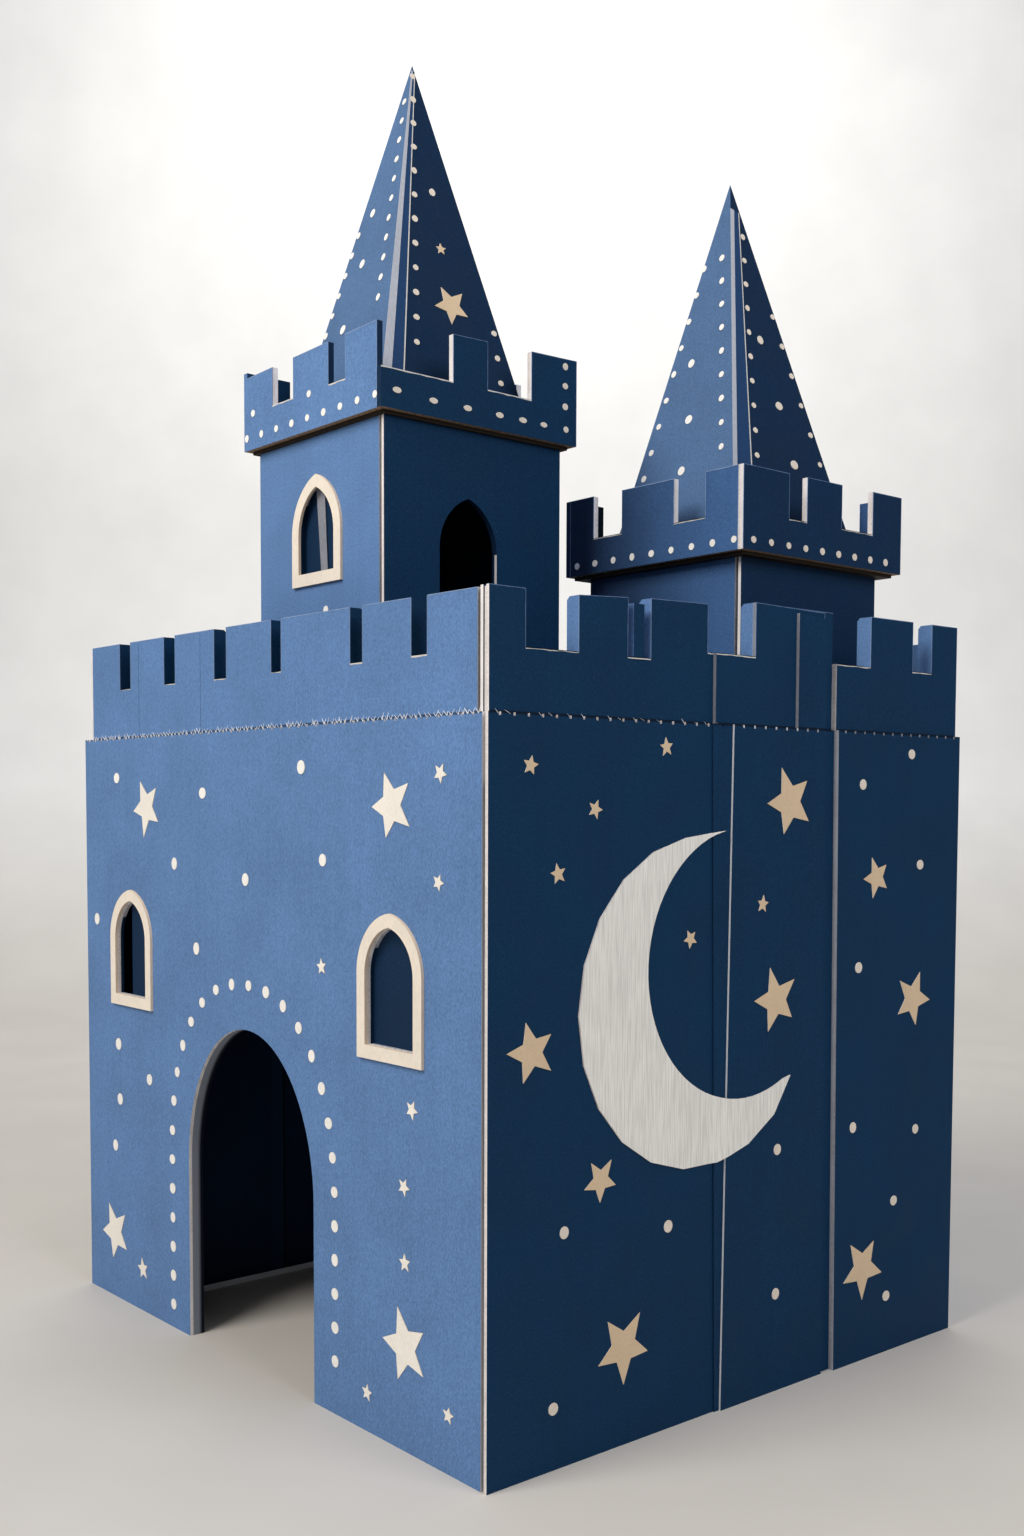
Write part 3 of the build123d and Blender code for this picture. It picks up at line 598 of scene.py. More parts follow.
def lift_at(table, across):
    """How much higher than the nominal line the sheet stands, read between the table's places."""
    for (x0, lift0), (x1, lift1) in zip(table, table[1:]):
        if x0 <= across <= x1:
            return lift0 + (lift1 - lift0) * (across - x0) / (x1 - x0)
    return table[0][1] if across < table[0][0] else table[-1][1]


def notched(start, end, foot, top, notches):
    """A sheet's outline with notches (start, end, floor); the first may open at the sheet's end."""
    outline = [(start, foot), (end, foot), (end, top(end))]
    for first, last, floor in reversed(notches):
        outline += [(last, top(last)), (last, floor), (first, floor), (first, top(first))]
    outline.append((start, top(start)))
    return outline if notches[0][0] - start > 0.2 else outline[:-2]


def battlement(name, side, notches, material, lifts, foot=deck_top, thick=board, flap=flap_depth):
    """A notched sheet as long as the node it replaces, with a flap behind each notch's sides."""
    run_axis = X if side == "front" else Y
    start, end = start_of(name, run_axis), end_of(name, run_axis)
    reach = start_of(name, Y) if side == "front" else end_of(name, X)
    inward = -faces_of[side] * mm

    def top(across):
        return merlon_top + lift_at(lifts, across)
    work = bmesh.new()
    outline = notched(start, end, foot, top, notches)
    extruded(work, corners_of(side, reach, outline), inward * thick)
    for first, last, floor in notches:
        for fold in (first - board, last):
            if fold < start or fold + board > end:
                continue
            high = min(top(fold), top(fold + board))
            profile = [(thick, floor), (thick + flap, floor), (thick + flap, high - flap_snip),
                       (thick + flap - flap_snip, high), (thick, high)]
            corners = [on_wall(side, reach, fold, up) + inward * depth for depth, up in profile]
            extruded(work, corners, on_wall(side, 0, board, 0))
    first_end, last_end = (start + 0.1) * mm, (end - 0.1) * mm

    def sort(normal, centre):
        return level_face(normal, centre) or not first_end < centre[run_axis] < last_end
    return finish_piece(f"{name}_sheet", work, [material, white_edge], sort, name)


def notches_from(edge, table):
    """Notches (start, end, floor) from their distances to the sheet's edge, widths and floors."""
    return [(edge + start, edge + start + width, floor) for start, width, floor in table]


front_notches = notches_from(x_left, (
    (65, 20, 542), (146, 19, 542), (229.5, 19, 541), (315, 14, 541), (419.5, 15, 540),
    (491, 17.5, 540)))
right_notches = notches_from(y_front, ((33, 46, 542), (124, 22, 542), (203, 48, third_floor)))
back_notches = notches_from(y_front, ((343, 42, 550.5), (440, 26, 550.5)))
front_lifts = ((x_left, 3), (0, 1), (288, -1))
right_lifts = [(y_front + place, lift) for place, lift in (
    (0, 0), (80, 0), (150, 4), (203, 5), (251, 10), (504, 11))]
front_sheet = battlement("front_parapet", "front", front_notches, scored_blue, front_lifts)
right_sheet = battlement("right_parapet", "right", right_notches, sheet_blue, right_lifts)
back_sheet = battlement("right_parapet_back", "right", back_notches, sheet_blue, right_lifts,
                        wall_top, back_board, back_flap)

# %% [markdown]
# ## Layers on the right battlement
# From the third notch on one more sheet was laid over the battlement, and a patch over its end.
# Below them the strip beside the seam shows its raw end as a thin second line, down to the moon.
# In the second notch a narrow folded block stands where a flap was left in one piece.

# %% Overlay, patch, seam line and tongue
overlay_start = start_of("right_parapet_overlay", Y)
overlay_end = end_of("right_parapet_overlay", Y)
third_notch_end = right_notches[2][1]
overlay_near_top, overlay_far_top = 589, 588
patch_start = start_of("right_parapet_patch", Y)
patch_near_top, patch_far_top = 585, 583
seam_low, seam_high, seam_width, seam_rise = (-43.3, 424), (-45.7, 499), 0.8, 0.6
tongue_start, tongue_size, tongue_height = -121.3, 10, 38


def layer_edge(normal, centre):
    return abs(normal.x) < 0.5


overlay_sheet = flat_piece(
    "overlay_parapet_sheet", "right", wall_face,
    [(overlay_start, wall_top), (overlay_end, wall_top), (overlay_end, overlay_far_top),
     (third_notch_end, overlay_near_top), (third_notch_end, third_floor),
     (overlay_start, third_floor)],
    board, [sheet_blue, dull_cut], layer_edge, "right_parapet_overlay")
flat_piece(
    "patch_sheet", "right", overlay_face,
    [(patch_start, wall_top), (overlay_end, wall_top), (overlay_end, patch_far_top),
     (patch_start, patch_near_top)],
    board, [sheet_blue, dull_cut], layer_edge, "right_parapet_patch")
flat_piece(
    "seam_thin_line", "right", wall_face + 0.05,
    [seam_low, (seam_low[0] + seam_width, seam_low[1]), (seam_high[0] + seam_width, seam_high[1]),
     seam_high], -seam_rise, [grey_edge])
flat_piece(
    "tongue_block", "right", end_of("right_parapet", X),
    rectangle(tongue_start, tongue_start + tongue_size, notch_floor, notch_floor + tongue_height),
    tongue_size, [sheet_blue, white_edge], level_face, "parapet_tongue")

# %% [markdown]
# ## Collars of the first tower
# Double-wall board with square notches sawn freehand: the tops rise a little towards the near
# corner on the front board and towards the far end on the right one, and the right board's first
# notch starts at the corner, so that the front board's raw end shows above it.

# %% Collars
collar_reach = end_of("tower_1_collar_right", X) - tower_1_place[0]
collar_bottom = start_of("tower_1_collar_front", Z)
collar_top = end_of("tower_1_collar_front", Z)
collar_board = 5.2
collar_floor = 764


def collar(side, half, notches, tilt, middle):
    """One collar board, twice half in length; tilt is how far its top's ends stand off level."""
    axis = Y if side == "front" else X

    def top_at(across):
        return collar_top + tilt[0] + (tilt[1] - tilt[0]) * (across + half) / (2 * half)
    outline = notched(-half, half, collar_bottom, top_at,
                      [(start, end, collar_floor) for start, end in notches])

    def sort(normal, centre):
        if normal.z < -0.5 and centre.z < (collar_bottom + 1) * mm:
            return 2
        at_end = abs(centre[1 - axis] - middle * mm) > (half - 1) * mm
        flap_side = side == "front" and centre.x > tower_1_place[0] * mm
        if abs(normal[1 - axis]) > 0.5 and (at_end or flap_side):
            return 3
        return 0 if abs(normal[axis]) > 0.5 else 1
    reach = tower_1_place[axis] + (collar_reach if side == "right" else -collar_reach)
    placed = [(middle + across, up) for across, up in outline]
    return flat_piece(f"collar_1_{side}_sheet", side, reach, placed, collar_board,
                      [sheet_blue, white_edge, tan_edge, core_navy], sort, f"tower_1_collar_{side}")


collars = {
    "front": collar("front", collar_reach - collar_board, ((-53, -22), (28, 51)), (-4.5, 0),
                    tower_1_place[X]),
    "right": collar("right", collar_reach, ((-collar_reach, -30), (4, 49)), (0, 5),
                    tower_1_place[Y])}

# %% [markdown]
# ## Pointed arches
# The arches of the first tower come to a sharper point than a plain round-shouldered arch. Each
# side is one arc whose centre lies on the springing line, so its radius follows from the width and
# the rise alone. The frame's inner edge is the same arc, drawn tighter by the frame's width.

# %% Arches
window_half, window_sill, window_height, window_rise = 34.5, 616, 86, 46
frame_width = 9.5
frame_thickness = 2.4
tower_1_front = start_of("tower_1_skin", Y)
opening_offset, opening_half, opening_top = -8, 28.5, 680
opening_depth = 5.6
pointed_rise, round_rise = 40, 28


def arch_side(half_width, rise, inset=0.0, steps=12):
    """Points up the right half of a pointed arch, from the springing line to its tip."""
    radius = (half_width ** 2 + rise ** 2) / (2 * half_width)
    centre = half_width - radius
    tip_angle = math.acos(-centre / (radius - inset))
    angles = [tip_angle * step / steps for step in range(steps + 1)]
    return [(centre + (radius - inset) * math.cos(angle), (radius - inset) * math.sin(angle))
            for angle in angles]


def frame_loop(inset):
    """A window outline, drawn inset millimetres inside the frame's outer edge."""
    spring = window_sill + window_height - window_rise
    half = [(window_half - inset, window_sill + inset)]
    half += [(x, spring + z) for x, z in arch_side(window_half, window_rise, inset)]
    whole = half + [(-x, z) for x, z in reversed(half[:-1])]
    return [(tower_1_place[X] + x, z) for x, z in whole]


work = bmesh.new()
outer, inner = [[work.verts.new(corner) for corner in
                 corners_of("front", tower_1_front, frame_loop(inset))]
                for inset in (0.0, frame_width)]
count = len(outer)
ring = [work.faces.new((outer[i], outer[(i + 1) % count], inner[(i + 1) % count], inner[i]))
        for i in range(count)]
push_out(work, ring, faces_of["front"] * frame_thickness * mm)
finish_piece("pointed_window_frame", work, [frame_cream], None,
             "tower_1_window_frame")

# Side opening: two shoulders of board turn the round arch into a pointed one
work = bmesh.new()
for mirror in (-1, 1):
    edge = [(x, opening_top - pointed_rise + z) for x, z in arch_side(opening_half, pointed_rise)]
    rounded = arch_side(opening_half, round_rise)
    edge += [(x, opening_top - round_rise + z) for x, z in reversed(rounded[:-1])]
    edge = [(tower_1_place[Y] + opening_offset + mirror * x, z) for x, z in edge]
    extruded(work, corners_of("right", end_of("tower_1_skin", X), edge),
             -faces_of["right"] * opening_depth * mm)
finish_piece("opening_shoulders", work, [sheet_blue, core_navy],
             lambda normal, centre: normal.x <= 0.5)

# %% [markdown]
# ## The moon
# One sheet of white card, snipped round with straight cuts and glued across the seam, so it has to
# climb from the bare wall onto the sheet beside it. The outline is a ring of straight snips with a
# smooth circle bitten out; the card is sliced across the step and each slice is lifted by the
# height of what lies under it, which bends the card as glue and paper really would.

# %% Moon
moon_middle, moon_height, moon_radius, moon_snips = y_front + 196, 302, 118.5, 22
bite_middle, bite_height, bite_radius, bite_steps = y_front + 241, 327.5, 99, 40
tips = [(y_front + 218, 424), (y_front + 292, 240)]
tip_room = 18               # the last snips run straight to the tips
card = 1.2
step_start, step_end, slice_width = -46, -26, 4


def ring_point(centre, radius, angle):
    return centre[0] + radius * math.cos(angle), centre[1] + radius * math.sin(angle)


def bitten(point):
    """Whether a snip's corner is cut away by the bite or by the run to a tip."""
    in_bite = math.dist(point, (bite_middle, bite_height)) < bite_radius
    return in_bite or min(math.dist(point, tip) for tip in tips) <= tip_room


snips = [ring_point((moon_middle, moon_height), moon_radius, math.tau * i / moon_snips)
         for i in range(moon_snips)]
first = next(i for i in range(moon_snips) if bitten(snips[i - 1]) and not bitten(snips[i]))
left = [snip for snip in snips[first:] + snips[:first] if not bitten(snip)]
outline = [tips[0]] + left + [tips[1]]
turn_to, turn_from = [math.atan2(z - bite_height, y - bite_middle) for y, z in tips]
if turn_from < turn_to:
    turn_from += math.tau
outline += [ring_point((bite_middle, bite_height), bite_radius,
                       turn_from + (turn_to - turn_from) * step / bite_steps)
            for step in range(1, bite_steps)]
work = bmesh.new()
work.faces.new([work.verts.new(corner) for corner in corners_of("right", wall_face, outline)])
for cut in range(step_start, step_end + 1, slice_width):
    bmesh.ops.bisect_plane(work, geom=work.verts[:] + work.edges[:] + work.faces[:],
                           plane_co=(0, cut * mm, 0), plane_no=(0, 1, 0), dist=1e-7)
push_out(work, work.faces[:], faces_of["right"] * card * mm)
for vert in work.verts:
    share = min(1, max(0, (vert.co.y / mm - step_start) / (step_end - step_start)))
    vert.co.x += (overlay_face - wall_face) * mm * share * share * (3 - 2 * share)
finish_piece("moon_sheet", work, [moon_white, white_edge],
             lambda normal, centre: normal.x <= 0.5, "moon")

# %% [markdown]
# ## Dots
# Punched paper dots are round discs, one for each hole of the punch. They are set by eye: in rows
# along the collars and the roofs and at even distances round the doorway, with the odd one astray.

# %% Dots
random.seed(5)
paper_rise = 0.45
disc_corners = 14
along_x, along_y, upward_z = Vector((1, 0, 0)), Vector((0, 1, 0)), Vector((0, 0, 1))


def disc(work, centre, across_dir, up_dir, radius):
    """A thin round disc lying on the plane of two directions, a little out of round."""
    wide, tall = radius if isinstance(radius, tuple) else (radius, radius)
    wide, tall = wide * random.uniform(0.92, 1.08), tall * random.uniform(0.92, 1.08)
    angles = [math.tau * i / disc_corners for i in range(disc_corners)]
    corners = [centre + across_dir * (wide * math.cos(angle) * mm)
               + up_dir * (tall * math.sin(angle) * mm) for angle in angles]
    extruded(work, corners, across_dir.cross(up_dir) * paper_rise * mm)


def part_way(first, second, share):
    return tuple(a + (b - a) * share for a, b in zip(first, second))


def row(first, last, count):
    """Evenly spaced places between two places."""
    return [part_way(first, last, i / (count - 1)) for i in range(count)]


def scattered(name, replaced, faces, draw, paper):
    """Small papers on planes: each is (origin, across, up, places), a place (x, y, radius...)."""
    work = bmesh.new()
    for origin, across_dir, up_dir, places in faces:
        for x, y, *size in places:
            draw(work, origin + (across_dir * x + up_dir * y) * mm, across_dir, up_dir, *size)
    print(name, sum(len(face[3]) for face in faces), "papers")
    finish_piece(name, work, [paper], None, replaced)


def dots(name, replaced, faces):
    scattered(name, replaced, faces, disc, dot_white)


def sized(places, radius):
    return [(across, up, radius) for across, up in places]


door_centre, door_width, door_height, door_rise = front_middle - 7, 188, 267, 119
door_margin, door_lift, door_pitch, crown_pitch, door_first = 28, 7, 24.8, 25.7, 20
crown_start = 40            # above the springing line by this much, the pitch changes
shoulder = 0.88             # below 1 the row bulges out at the arch's shoulders
arch_steps = 400
row_half = door_width / 2 + door_margin
spring = door_height - door_rise
path = [(door_centre - row_half, door_first)]
for step in range(arch_steps + 1):
    angle = math.pi * (1 - step / arch_steps)
    wide = math.copysign(abs(math.cos(angle)) ** shoulder, math.cos(angle))
    path.append((door_centre + row_half * wide,
                 spring + (door_rise + door_margin + door_lift) * math.sin(angle) ** shoulder))
path.append((door_centre + row_half, door_first))
door_places, walked = [path[0]], 0.0
for before, after in zip(path, path[1:]):
    length = math.dist(before, after)
    pitch = crown_pitch if before[1] > spring + crown_start else door_pitch
    while walked + length >= pitch:
        before = part_way(before, after, (pitch - walked) / length)
        door_places.append(before)
        length = math.dist(before, after)
        walked = 0.0
    walked += length
door_dot, loose_dot, side_dot = 4.4, 4.9, 4.2
loose = ((-225, 465), (-73, 451), (73, 469), (-121, 393), (-7, 384), (101, 402), (-267, 339),
         (-85, 325), (-227, 230), (-169, 206), (-225, 181), (-235, 138))
dots("front_wall_punched_dots", "front_wall_dots",
     [(Vector((0, y_front, 0)) * mm, along_x, upward_z,
       sized(door_places, door_dot)
       + sized([(front_middle + x, z) for x, z in loose], loose_dot))])

# %% [markdown]
# ## Stars
# The stars are snipped from gold paper by hand, so their points are not all of one length. The
# large ones are set down nearly upright and the small ones any way round.

# %% Stars
star_waist = 0.46           # how far in the corners between two points lie


def star(work, centre, across_dir, up_dir, radius, turn):
    """A five-pointed paper star whose first point stands at the given angle."""
    corners = []
    for index in range(10):
        reach = radius * (1 if index % 2 == 0 else star_waist) * random.uniform(0.94, 1.05)
        angle = math.radians(turn + 36 * index)
        corners.append(
            centre + (across_dir * math.cos(angle) + up_dir * math.sin(angle)) * reach * mm)
    extruded(work, corners, across_dir.cross(up_dir) * paper_rise * mm)


def stars(name, replaced, faces):
    scattered(name, replaced, faces, star, star_gold)


def small(places):
    """Small stars: about 13 mm across, each turned its own way."""
    return [(x, y, random.uniform(6.0, 7.2), random.uniform(0, 72)) for x, y in places]


stars("front_paper_stars", "front_wall_stars", [(
    Vector((front_middle, y_front, 0)) * mm, along_x, upward_z,
    [(-170, 439, 24.5, 115), (185, 441, 24, 110), (-238, 59, 26, 116), (200, 73, 26, 108),
     (-185, 37, 9.5, 100)]
    + small([(239, 462), (237, 391), (99, 325), (208, 237), (199, 183), (200, 131), (155, 28),
             (248, 40)]))])
on_bare, on_overlay, on_panel = [(Vector((reach, y_front, 0)) * mm, along_y, upward_z)
                                 for reach in (wall_face, overlay_face, panel_face)]
stars("right_paper_stars", "right_wall_stars", [
    (*on_bare, [(37, 282, 20.5, 105), (99, 189, 15.5, 124), (122, 69, 25, 126)]
     + small([(35, 467), (159, 482), (92, 439), (59, 397), (185, 348)])),
    (*on_overlay, [(288, 445, 26, 111), (275, 298, 24.5, 106)] + small([(259, 370)])),
    (*on_panel, [(393, 386, 16.5, 111), (444, 286, 23.5, 66), (383, 75, 25.5, 126)])])
dots("right_punched_dots", "right_wall_dots", [
    (*on_bare, sized([(66, 159), (165, 146), (57, 42)], side_dot)),
    (*on_overlay, sized([(279, 185), (279, 75)], side_dot)),
    (*on_panel, sized([(437, 484), (374, 459), (451, 395), (372, 316), (368, 190), (451, 178),
                       (423, 123), (415, 46)], side_dot))])

# %% [markdown]
# ## Roofs
# Each roof is one printed sheet folded round a pyramid and set on its tower a few degrees askew.
# It starts with a narrow tab bent round the near edge, stops a finger's breadth short on the other
# side, and leaves the plain inner pyramid bare between. The tab shows its raw pale side and the
# sheet's far end a thin cream cut. A pyramid is a cone with four sides, so it is drawn as a foot
# and a tip.

# %% Roofs
lining_share, lining_lift = 0.9, 1
slot_foot = 0.002           # the slot's parts start this share of the edge above the foot
cut_foot, cut_tip = 1.1, 0.66


def pyramid(name, foot, tip, material, replaced):
    """A closed pyramid over four corners."""
    work = bmesh.new()
    corners = [work.verts.new(corner) for corner in foot]
    top = work.verts.new(tip)
    work.faces.new(corners)
    for i in range(4):
        work.faces.new((corners[i], corners[(i + 1) % 4], top))
    finish_piece(name, work, [material], None, replaced)


def roof(name, place, width, base_z, tip_z, lean, twist):
    """A pyramid of card, turned about its axis, that stands for the roof's sheet and its lining."""
    half = width / 2
    turn = math.radians(twist)
    base = [Vector((place[0] + half * (sx * math.cos(turn) + sy * math.sin(turn)),
                    place[1] + half * (sy * math.cos(turn) - sx * math.sin(turn)), base_z)) * mm
            for sx, sy in ((-1, -1), (1, -1), (1, 1), (-1, 1))]
    apex = Vector((place[0] + lean[0], place[1] + lean[1], tip_z)) * mm
    pyramid(f"{name}_sheet", base, apex, roof_blue, f"{name}_spire_skin")
    middle = sum(base, Vector()) / 4
    inner = [middle + (corner.lerp(apex, 0.04) - middle) * lining_share for corner in base]
    for corner in inner:
        corner.z = (base_z + lining_lift) * mm
    pyramid(f"{name}_lining", inner, middle.lerp(apex, lining_share), core_navy,
            f"{name}_spire_core")
    return base, apex


def roof_plane(base, apex, first, second):
    """A roof face as its tip, the direction across it and the direction up its slope."""
    across_dir = (base[second] - base[first]).normalized()
    rise = apex - (base[first] + base[second]) / 2
    return apex, across_dir, (rise - across_dir * rise.dot(across_dir)).normalized()


def roof_slot(name, base, apex, tab, slot, end):
    """Tab, bare slot and cut line at a roof's near edge; tab and slot are widths, foot and tip."""
    ridge = apex - base[1]
    across_dir = base[2] - base[1]
    across_dir = (across_dir
                  - ridge * across_dir.dot(ridge) / ridge.length_squared).normalized()
    out = across_dir.cross(ridge.normalized())
    if out.x < 0:
        out = -out
    parts = (("tab", (0.0, 0.0), tab, 0.35, tab_grey), ("bare", tab, slot, 0.15, slot_blue),
             ("cut", slot, (slot[0] + cut_foot, slot[1] + cut_tip), 0.4, pale_cut_and_highlight))
    for part, near, far, rise, material in parts:
        work = bmesh.new()
        corners = [base[1] + ridge * level + across_dir * edge * mm for level, edge in
                   ((slot_foot, near[0]), (slot_foot, far[0]), (end, far[1]), (end, near[1]))]
        extruded(work, corners, out * rise * mm)
        finish_piece(f"{name}_{part}", work, [material])


def down(places, radius):
    return [(across, -drop, radius) for across, drop in places]


roof_1_base, roof_1_apex = roof("tower_1", tower_1_place, 144, 742.8, cad_high[2] / mm,
                                (1.8, 2.1), 4.6)
roof_1_front = roof_plane(roof_1_base, roof_1_apex, 0, 1)
roof_1_right = roof_plane(roof_1_base, roof_1_apex, 1, 2)
roof_slot("roof_1_slot", roof_1_base, roof_1_apex, (9, 1.0), (20.5, 2.5), 0.985)
roof_2_base, roof_2_apex = roof("tower_2", tower_2_place, 149, 645.8, 965, (-4.5, -2.4), 2.6)
roof_2_front = roof_plane(roof_2_base, roof_2_apex, 0, 1)
roof_2_right = roof_plane(roof_2_base, roof_2_apex, 1, 2)
roof_slot("roof_2_slot", roof_2_base, roof_2_apex, (4.8, 4.0), (24, 9.0), 0.93)


def collar_planes(place, reach, bottom):
    """The front and the right plane of a tower's collars, from the middle of their feet."""
    return ((Vector((place[0], place[1] - reach, bottom)) * mm, along_x, upward_z),
            (Vector((place[0] + reach, place[1], bottom)) * mm, along_y, upward_z))


collar_1_front, collar_1_right = collar_planes(tower_1_place, collar_reach, collar_bottom)
dots("tower_1_punched_dots", "tower_1_dots", [
    (*collar_1_front, sized(row((-93, 10), (90, 10), 9) + [(-83, 29), (1, 28)], 2.9)),
    (*collar_1_right,
     sized([(-83, 14), (-49, 12), (-16, 12), (16, 12), (40, 12), (62, 12)], (3.7, 2.2))
     + sized([(86, 12), (85, 30), (85, 46.5), (85, 62)], 2.7)),
    (Vector((tower_1_place[0] + 11, tower_1_front, 595)) * mm, along_x, upward_z, [(0, 0, 3.2)]),
    (*roof_1_front, down(row((1, 32), (30, 208), 11) + row((-29, 138), (-49, 220), 6), 2.8)
     + [(-12, -124, 3.6), (-11, -168, 3.8), (-20, -222, 3.8)]),
    (*roof_1_right, down(row((-1, 10), (-31, 246), 12) + row((46, 224), (46, 267), 3), 2.6)
     + [(3, -111, 3.0)])])
stars("roof_1_paper_stars", "tower_1_stars",
      [(*roof_1_right, [(7, -208, 17, 119), (4, -160, 5.0, 90)])])
collar_2_front, collar_2_right = collar_planes(
    tower_2_place, end_of("tower_2_collar_right", X) - tower_2_place[0],
    start_of("tower_2_collar_right", Z))
dots("tower_2_punched_dots", "tower_2_dots", [
    (*collar_2_front, sized(row((-86, 8), (91, 8), 9), 2.9)),
    (*collar_2_right, sized(row((-88, 8), (79, 8), 9), 2.8)),
    (*roof_2_front, down(row((6, 67), (45, 239), 9) + row((-14, 71), (-44, 251), 9), 2.8)
     + [(-9, -156, 3.8), (0, -207, 3.8), (2, -252, 3.9), (3, -289, 3.8)]),
    (*roof_2_right, down(row((4, 47), (-26, 246), 10) + row((24, 115), (51, 243), 6), 2.5)
     + [(3, -140, 3.6), (12, -197, 3.8), (18, -248, 4.0)])])

# %% [markdown]
# ## What shows inside the openings
# Through the tower's window an inner board stands on edge and turns grey where its raw side
# catches the light. Inside the door only the partition's bottom edge is bright enough to see.

# %% Inner details
inner_edge_reach, line_rise, foot_line_height = -179.4, 0.5, 5
flat_piece("window_inner_edge", "front", inner_edge_reach,
           [(-10.5, 622), (-1.5, 622), (-6.5, 703), (-18.5, 703)], line_rise, [dull_cut])
partition_low, partition_high = [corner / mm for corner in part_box("inner_partition")]
flat_piece("partition_foot_line", "right", partition_high.x,
           rectangle(partition_low.y, partition_high.y, 0, foot_line_height), -line_rise,
           [torn_white])

# %% [markdown]
# ## Pale lines along the cuts
# A knife leaves the printed liner a hair back from the cut, and the fuzzy cut catches the light, so
# a thin pale line runs along every notch and merlon: part torn liner, part painted highlight. Each
# line here is a slim ribbon laid along a cut edge of the frame's own mesh:
# it is found where a printed face meets a cut face, and its width wanders a little, as a hand-held
# knife does. Floors of notches show more of it than tops and sides.

# %% Cut lines
random.seed(11)
ribbon_proud = 0.12
ribbon_sunk = 0.3
ribbon_outside = 0.05
ribbon_step = 5.0
top_width, side_width = 0.45, 0.3
parapet_floor_width, collar_floor_width = 1.0, 0.9


def tube(work, rings):
    """Closes a row of rings of vertices into one solid."""
    for near, far in zip(rings, rings[1:]):
        for corner in range(len(near)):
            following = (corner + 1) % len(near)
            work.faces.new((near[corner], near[following], far[following], far[corner]))
    work.faces.new(rings[0])
    work.faces.new(rings[-1][::-1])


def ribbon(work, start, end, inward, outward, width):
    """A slim closed strip along an edge, from just outside it to width inside the printed face."""
    count = max(1, round((end - start).length / (ribbon_step * mm)))
    rings = []
    for index in range(count + 1):
        point = start.lerp(end, index / count)
        reach = width * random.uniform(0.65, 1.35)
        profile = ((-ribbon_outside, -ribbon_sunk), (-ribbon_outside, ribbon_proud),
                   (reach, ribbon_proud), (reach, -ribbon_sunk))
        rings.append([work.verts.new(point + (inward * across_it + outward * out_of_it) * mm)
                      for across_it, out_of_it in profile])
    tube(work, rings)


def cut_lines(name, sheets, side, chosen, material):
    """Ribbons along cut edges of sheets; chosen(cut face's normal, middle) gives a width or 0."""
    facing = faces_of[side]
    work = bmesh.new()
    found = 0
    for sheet in sheets:
        source = bmesh.new()
        source.from_mesh(sheet.data)
        bmesh.ops.remove_doubles(source, verts=source.verts, dist=0.001 * mm)
        reach = max(facing.dot(vert.co) for vert in source.verts)
        for edge in source.edges:
            if len(edge.link_faces) != 2:
                continue
            for loop in edge.link_loops:
                printed = loop.face
                cut = loop.link_loop_radial_next.face
                if printed.normal.dot(facing) < 0.9 or abs(cut.normal.dot(facing)) > 0.3:
                    continue
                start, end = loop.vert.co, loop.link_loop_next.vert.co
                middle = (start + end) / 2
                if facing.dot(middle) < reach - 0.3 * mm:
                    continue
                width = chosen(cut.normal, middle)
                if width:
                    inward = printed.normal.cross(end - start).normalized()
                    ribbon(work, start, end, inward, printed.normal, width)
                    found += 1
        source.free()
    print(name, "cuts", found)
    finish_piece(name, work, [material])


def notch_floors(width, floor, slack):
    def chosen(normal, middle):
        return width if normal.z > 0.5 and abs(middle.z - floor * mm) < slack * mm else 0
    return chosen


def tops_and_sides(floor):
    """Widths for merlon tops and notch sides; the two ends of a sheet are left alone."""
    def chosen(normal, middle):
        if normal.z > 0.5:
            return 0 if abs(middle.z - floor * mm) < 1 * mm else top_width
        if abs(normal.z) < 0.3 and middle.z > (floor + 1) * mm:
            return side_width
        return 0
    return chosen


def edge_lines(name, side, sheets, width, floor, slack):
    """Both sets of lines of one board: along its notch floors, and along its tops and sides."""
    floors = notch_floors(width, floor, slack)
    # Pale lines: torn liner and painted highlight where the cut edges catch light
    cut_lines(f"{name}_floor_cuts_{side}", sheets, side, floors, pale_cut_and_highlight)
    cut_lines(f"{name}_top_cuts_{side}", sheets, side, tops_and_sides(floor), blue_cut_and_highlight)


edge_lines("parapet", "front", [front_sheet], parapet_floor_width, notch_floor, 16)
edge_lines("parapet", "right", [right_sheet, back_sheet, overlay_sheet], parapet_floor_width,
           notch_floor, 16)
for side in ("front", "right"):
    edge_lines("tower_1_collar", side, [collars[side]], collar_floor_width, collar_floor, 3)
collar_2_floor = 665
for side in ("front", "right"):
    edge_lines("tower_2_collar", side, [nodes[f"tower_2_collar_{side}"]], collar_floor_width,
               collar_2_floor, 3)

# %% [markdown]
# ## Torn perforation
# The battlement was torn from the wall sheets along a line of small cuts and stood up again. Each
# bridge of paper between two cuts tore with a white tuft. On the front the tufts are dense and
# curl both ways; on the right they are sparse and all lean the same way. A tuft is a tapering
# sliver of three short lengths, bent a little outwards.

# %% Tufts
random.seed(29)
tuft_lengths = 3
tuft_taper = 0.75
tuft_missing = 0.12         # the share of bridges that tore clean


def sliver(work, root, along, outward, length, thickness, lean, curl):
    """A curled, tapering strip of torn paper that starts at root and leans along the tear."""
    rings = []
    for index in range(tuft_lengths + 1):
        share = index / tuft_lengths
        point = (root + along * (math.sin(lean) * length * share)
                 + upward_z * (math.cos(lean) * length * share)
                 + outward * (curl * math.sin(share * math.pi)))
        size = thickness * (1 - tuft_taper * share)
        rings.append([work.verts.new(point + along * (size * math.cos(turn))
                                     + outward * (size * 0.5 * math.sin(turn)))
                      for turn in (0, math.tau / 3, 2 * math.tau / 3)])
    tube(work, rings)


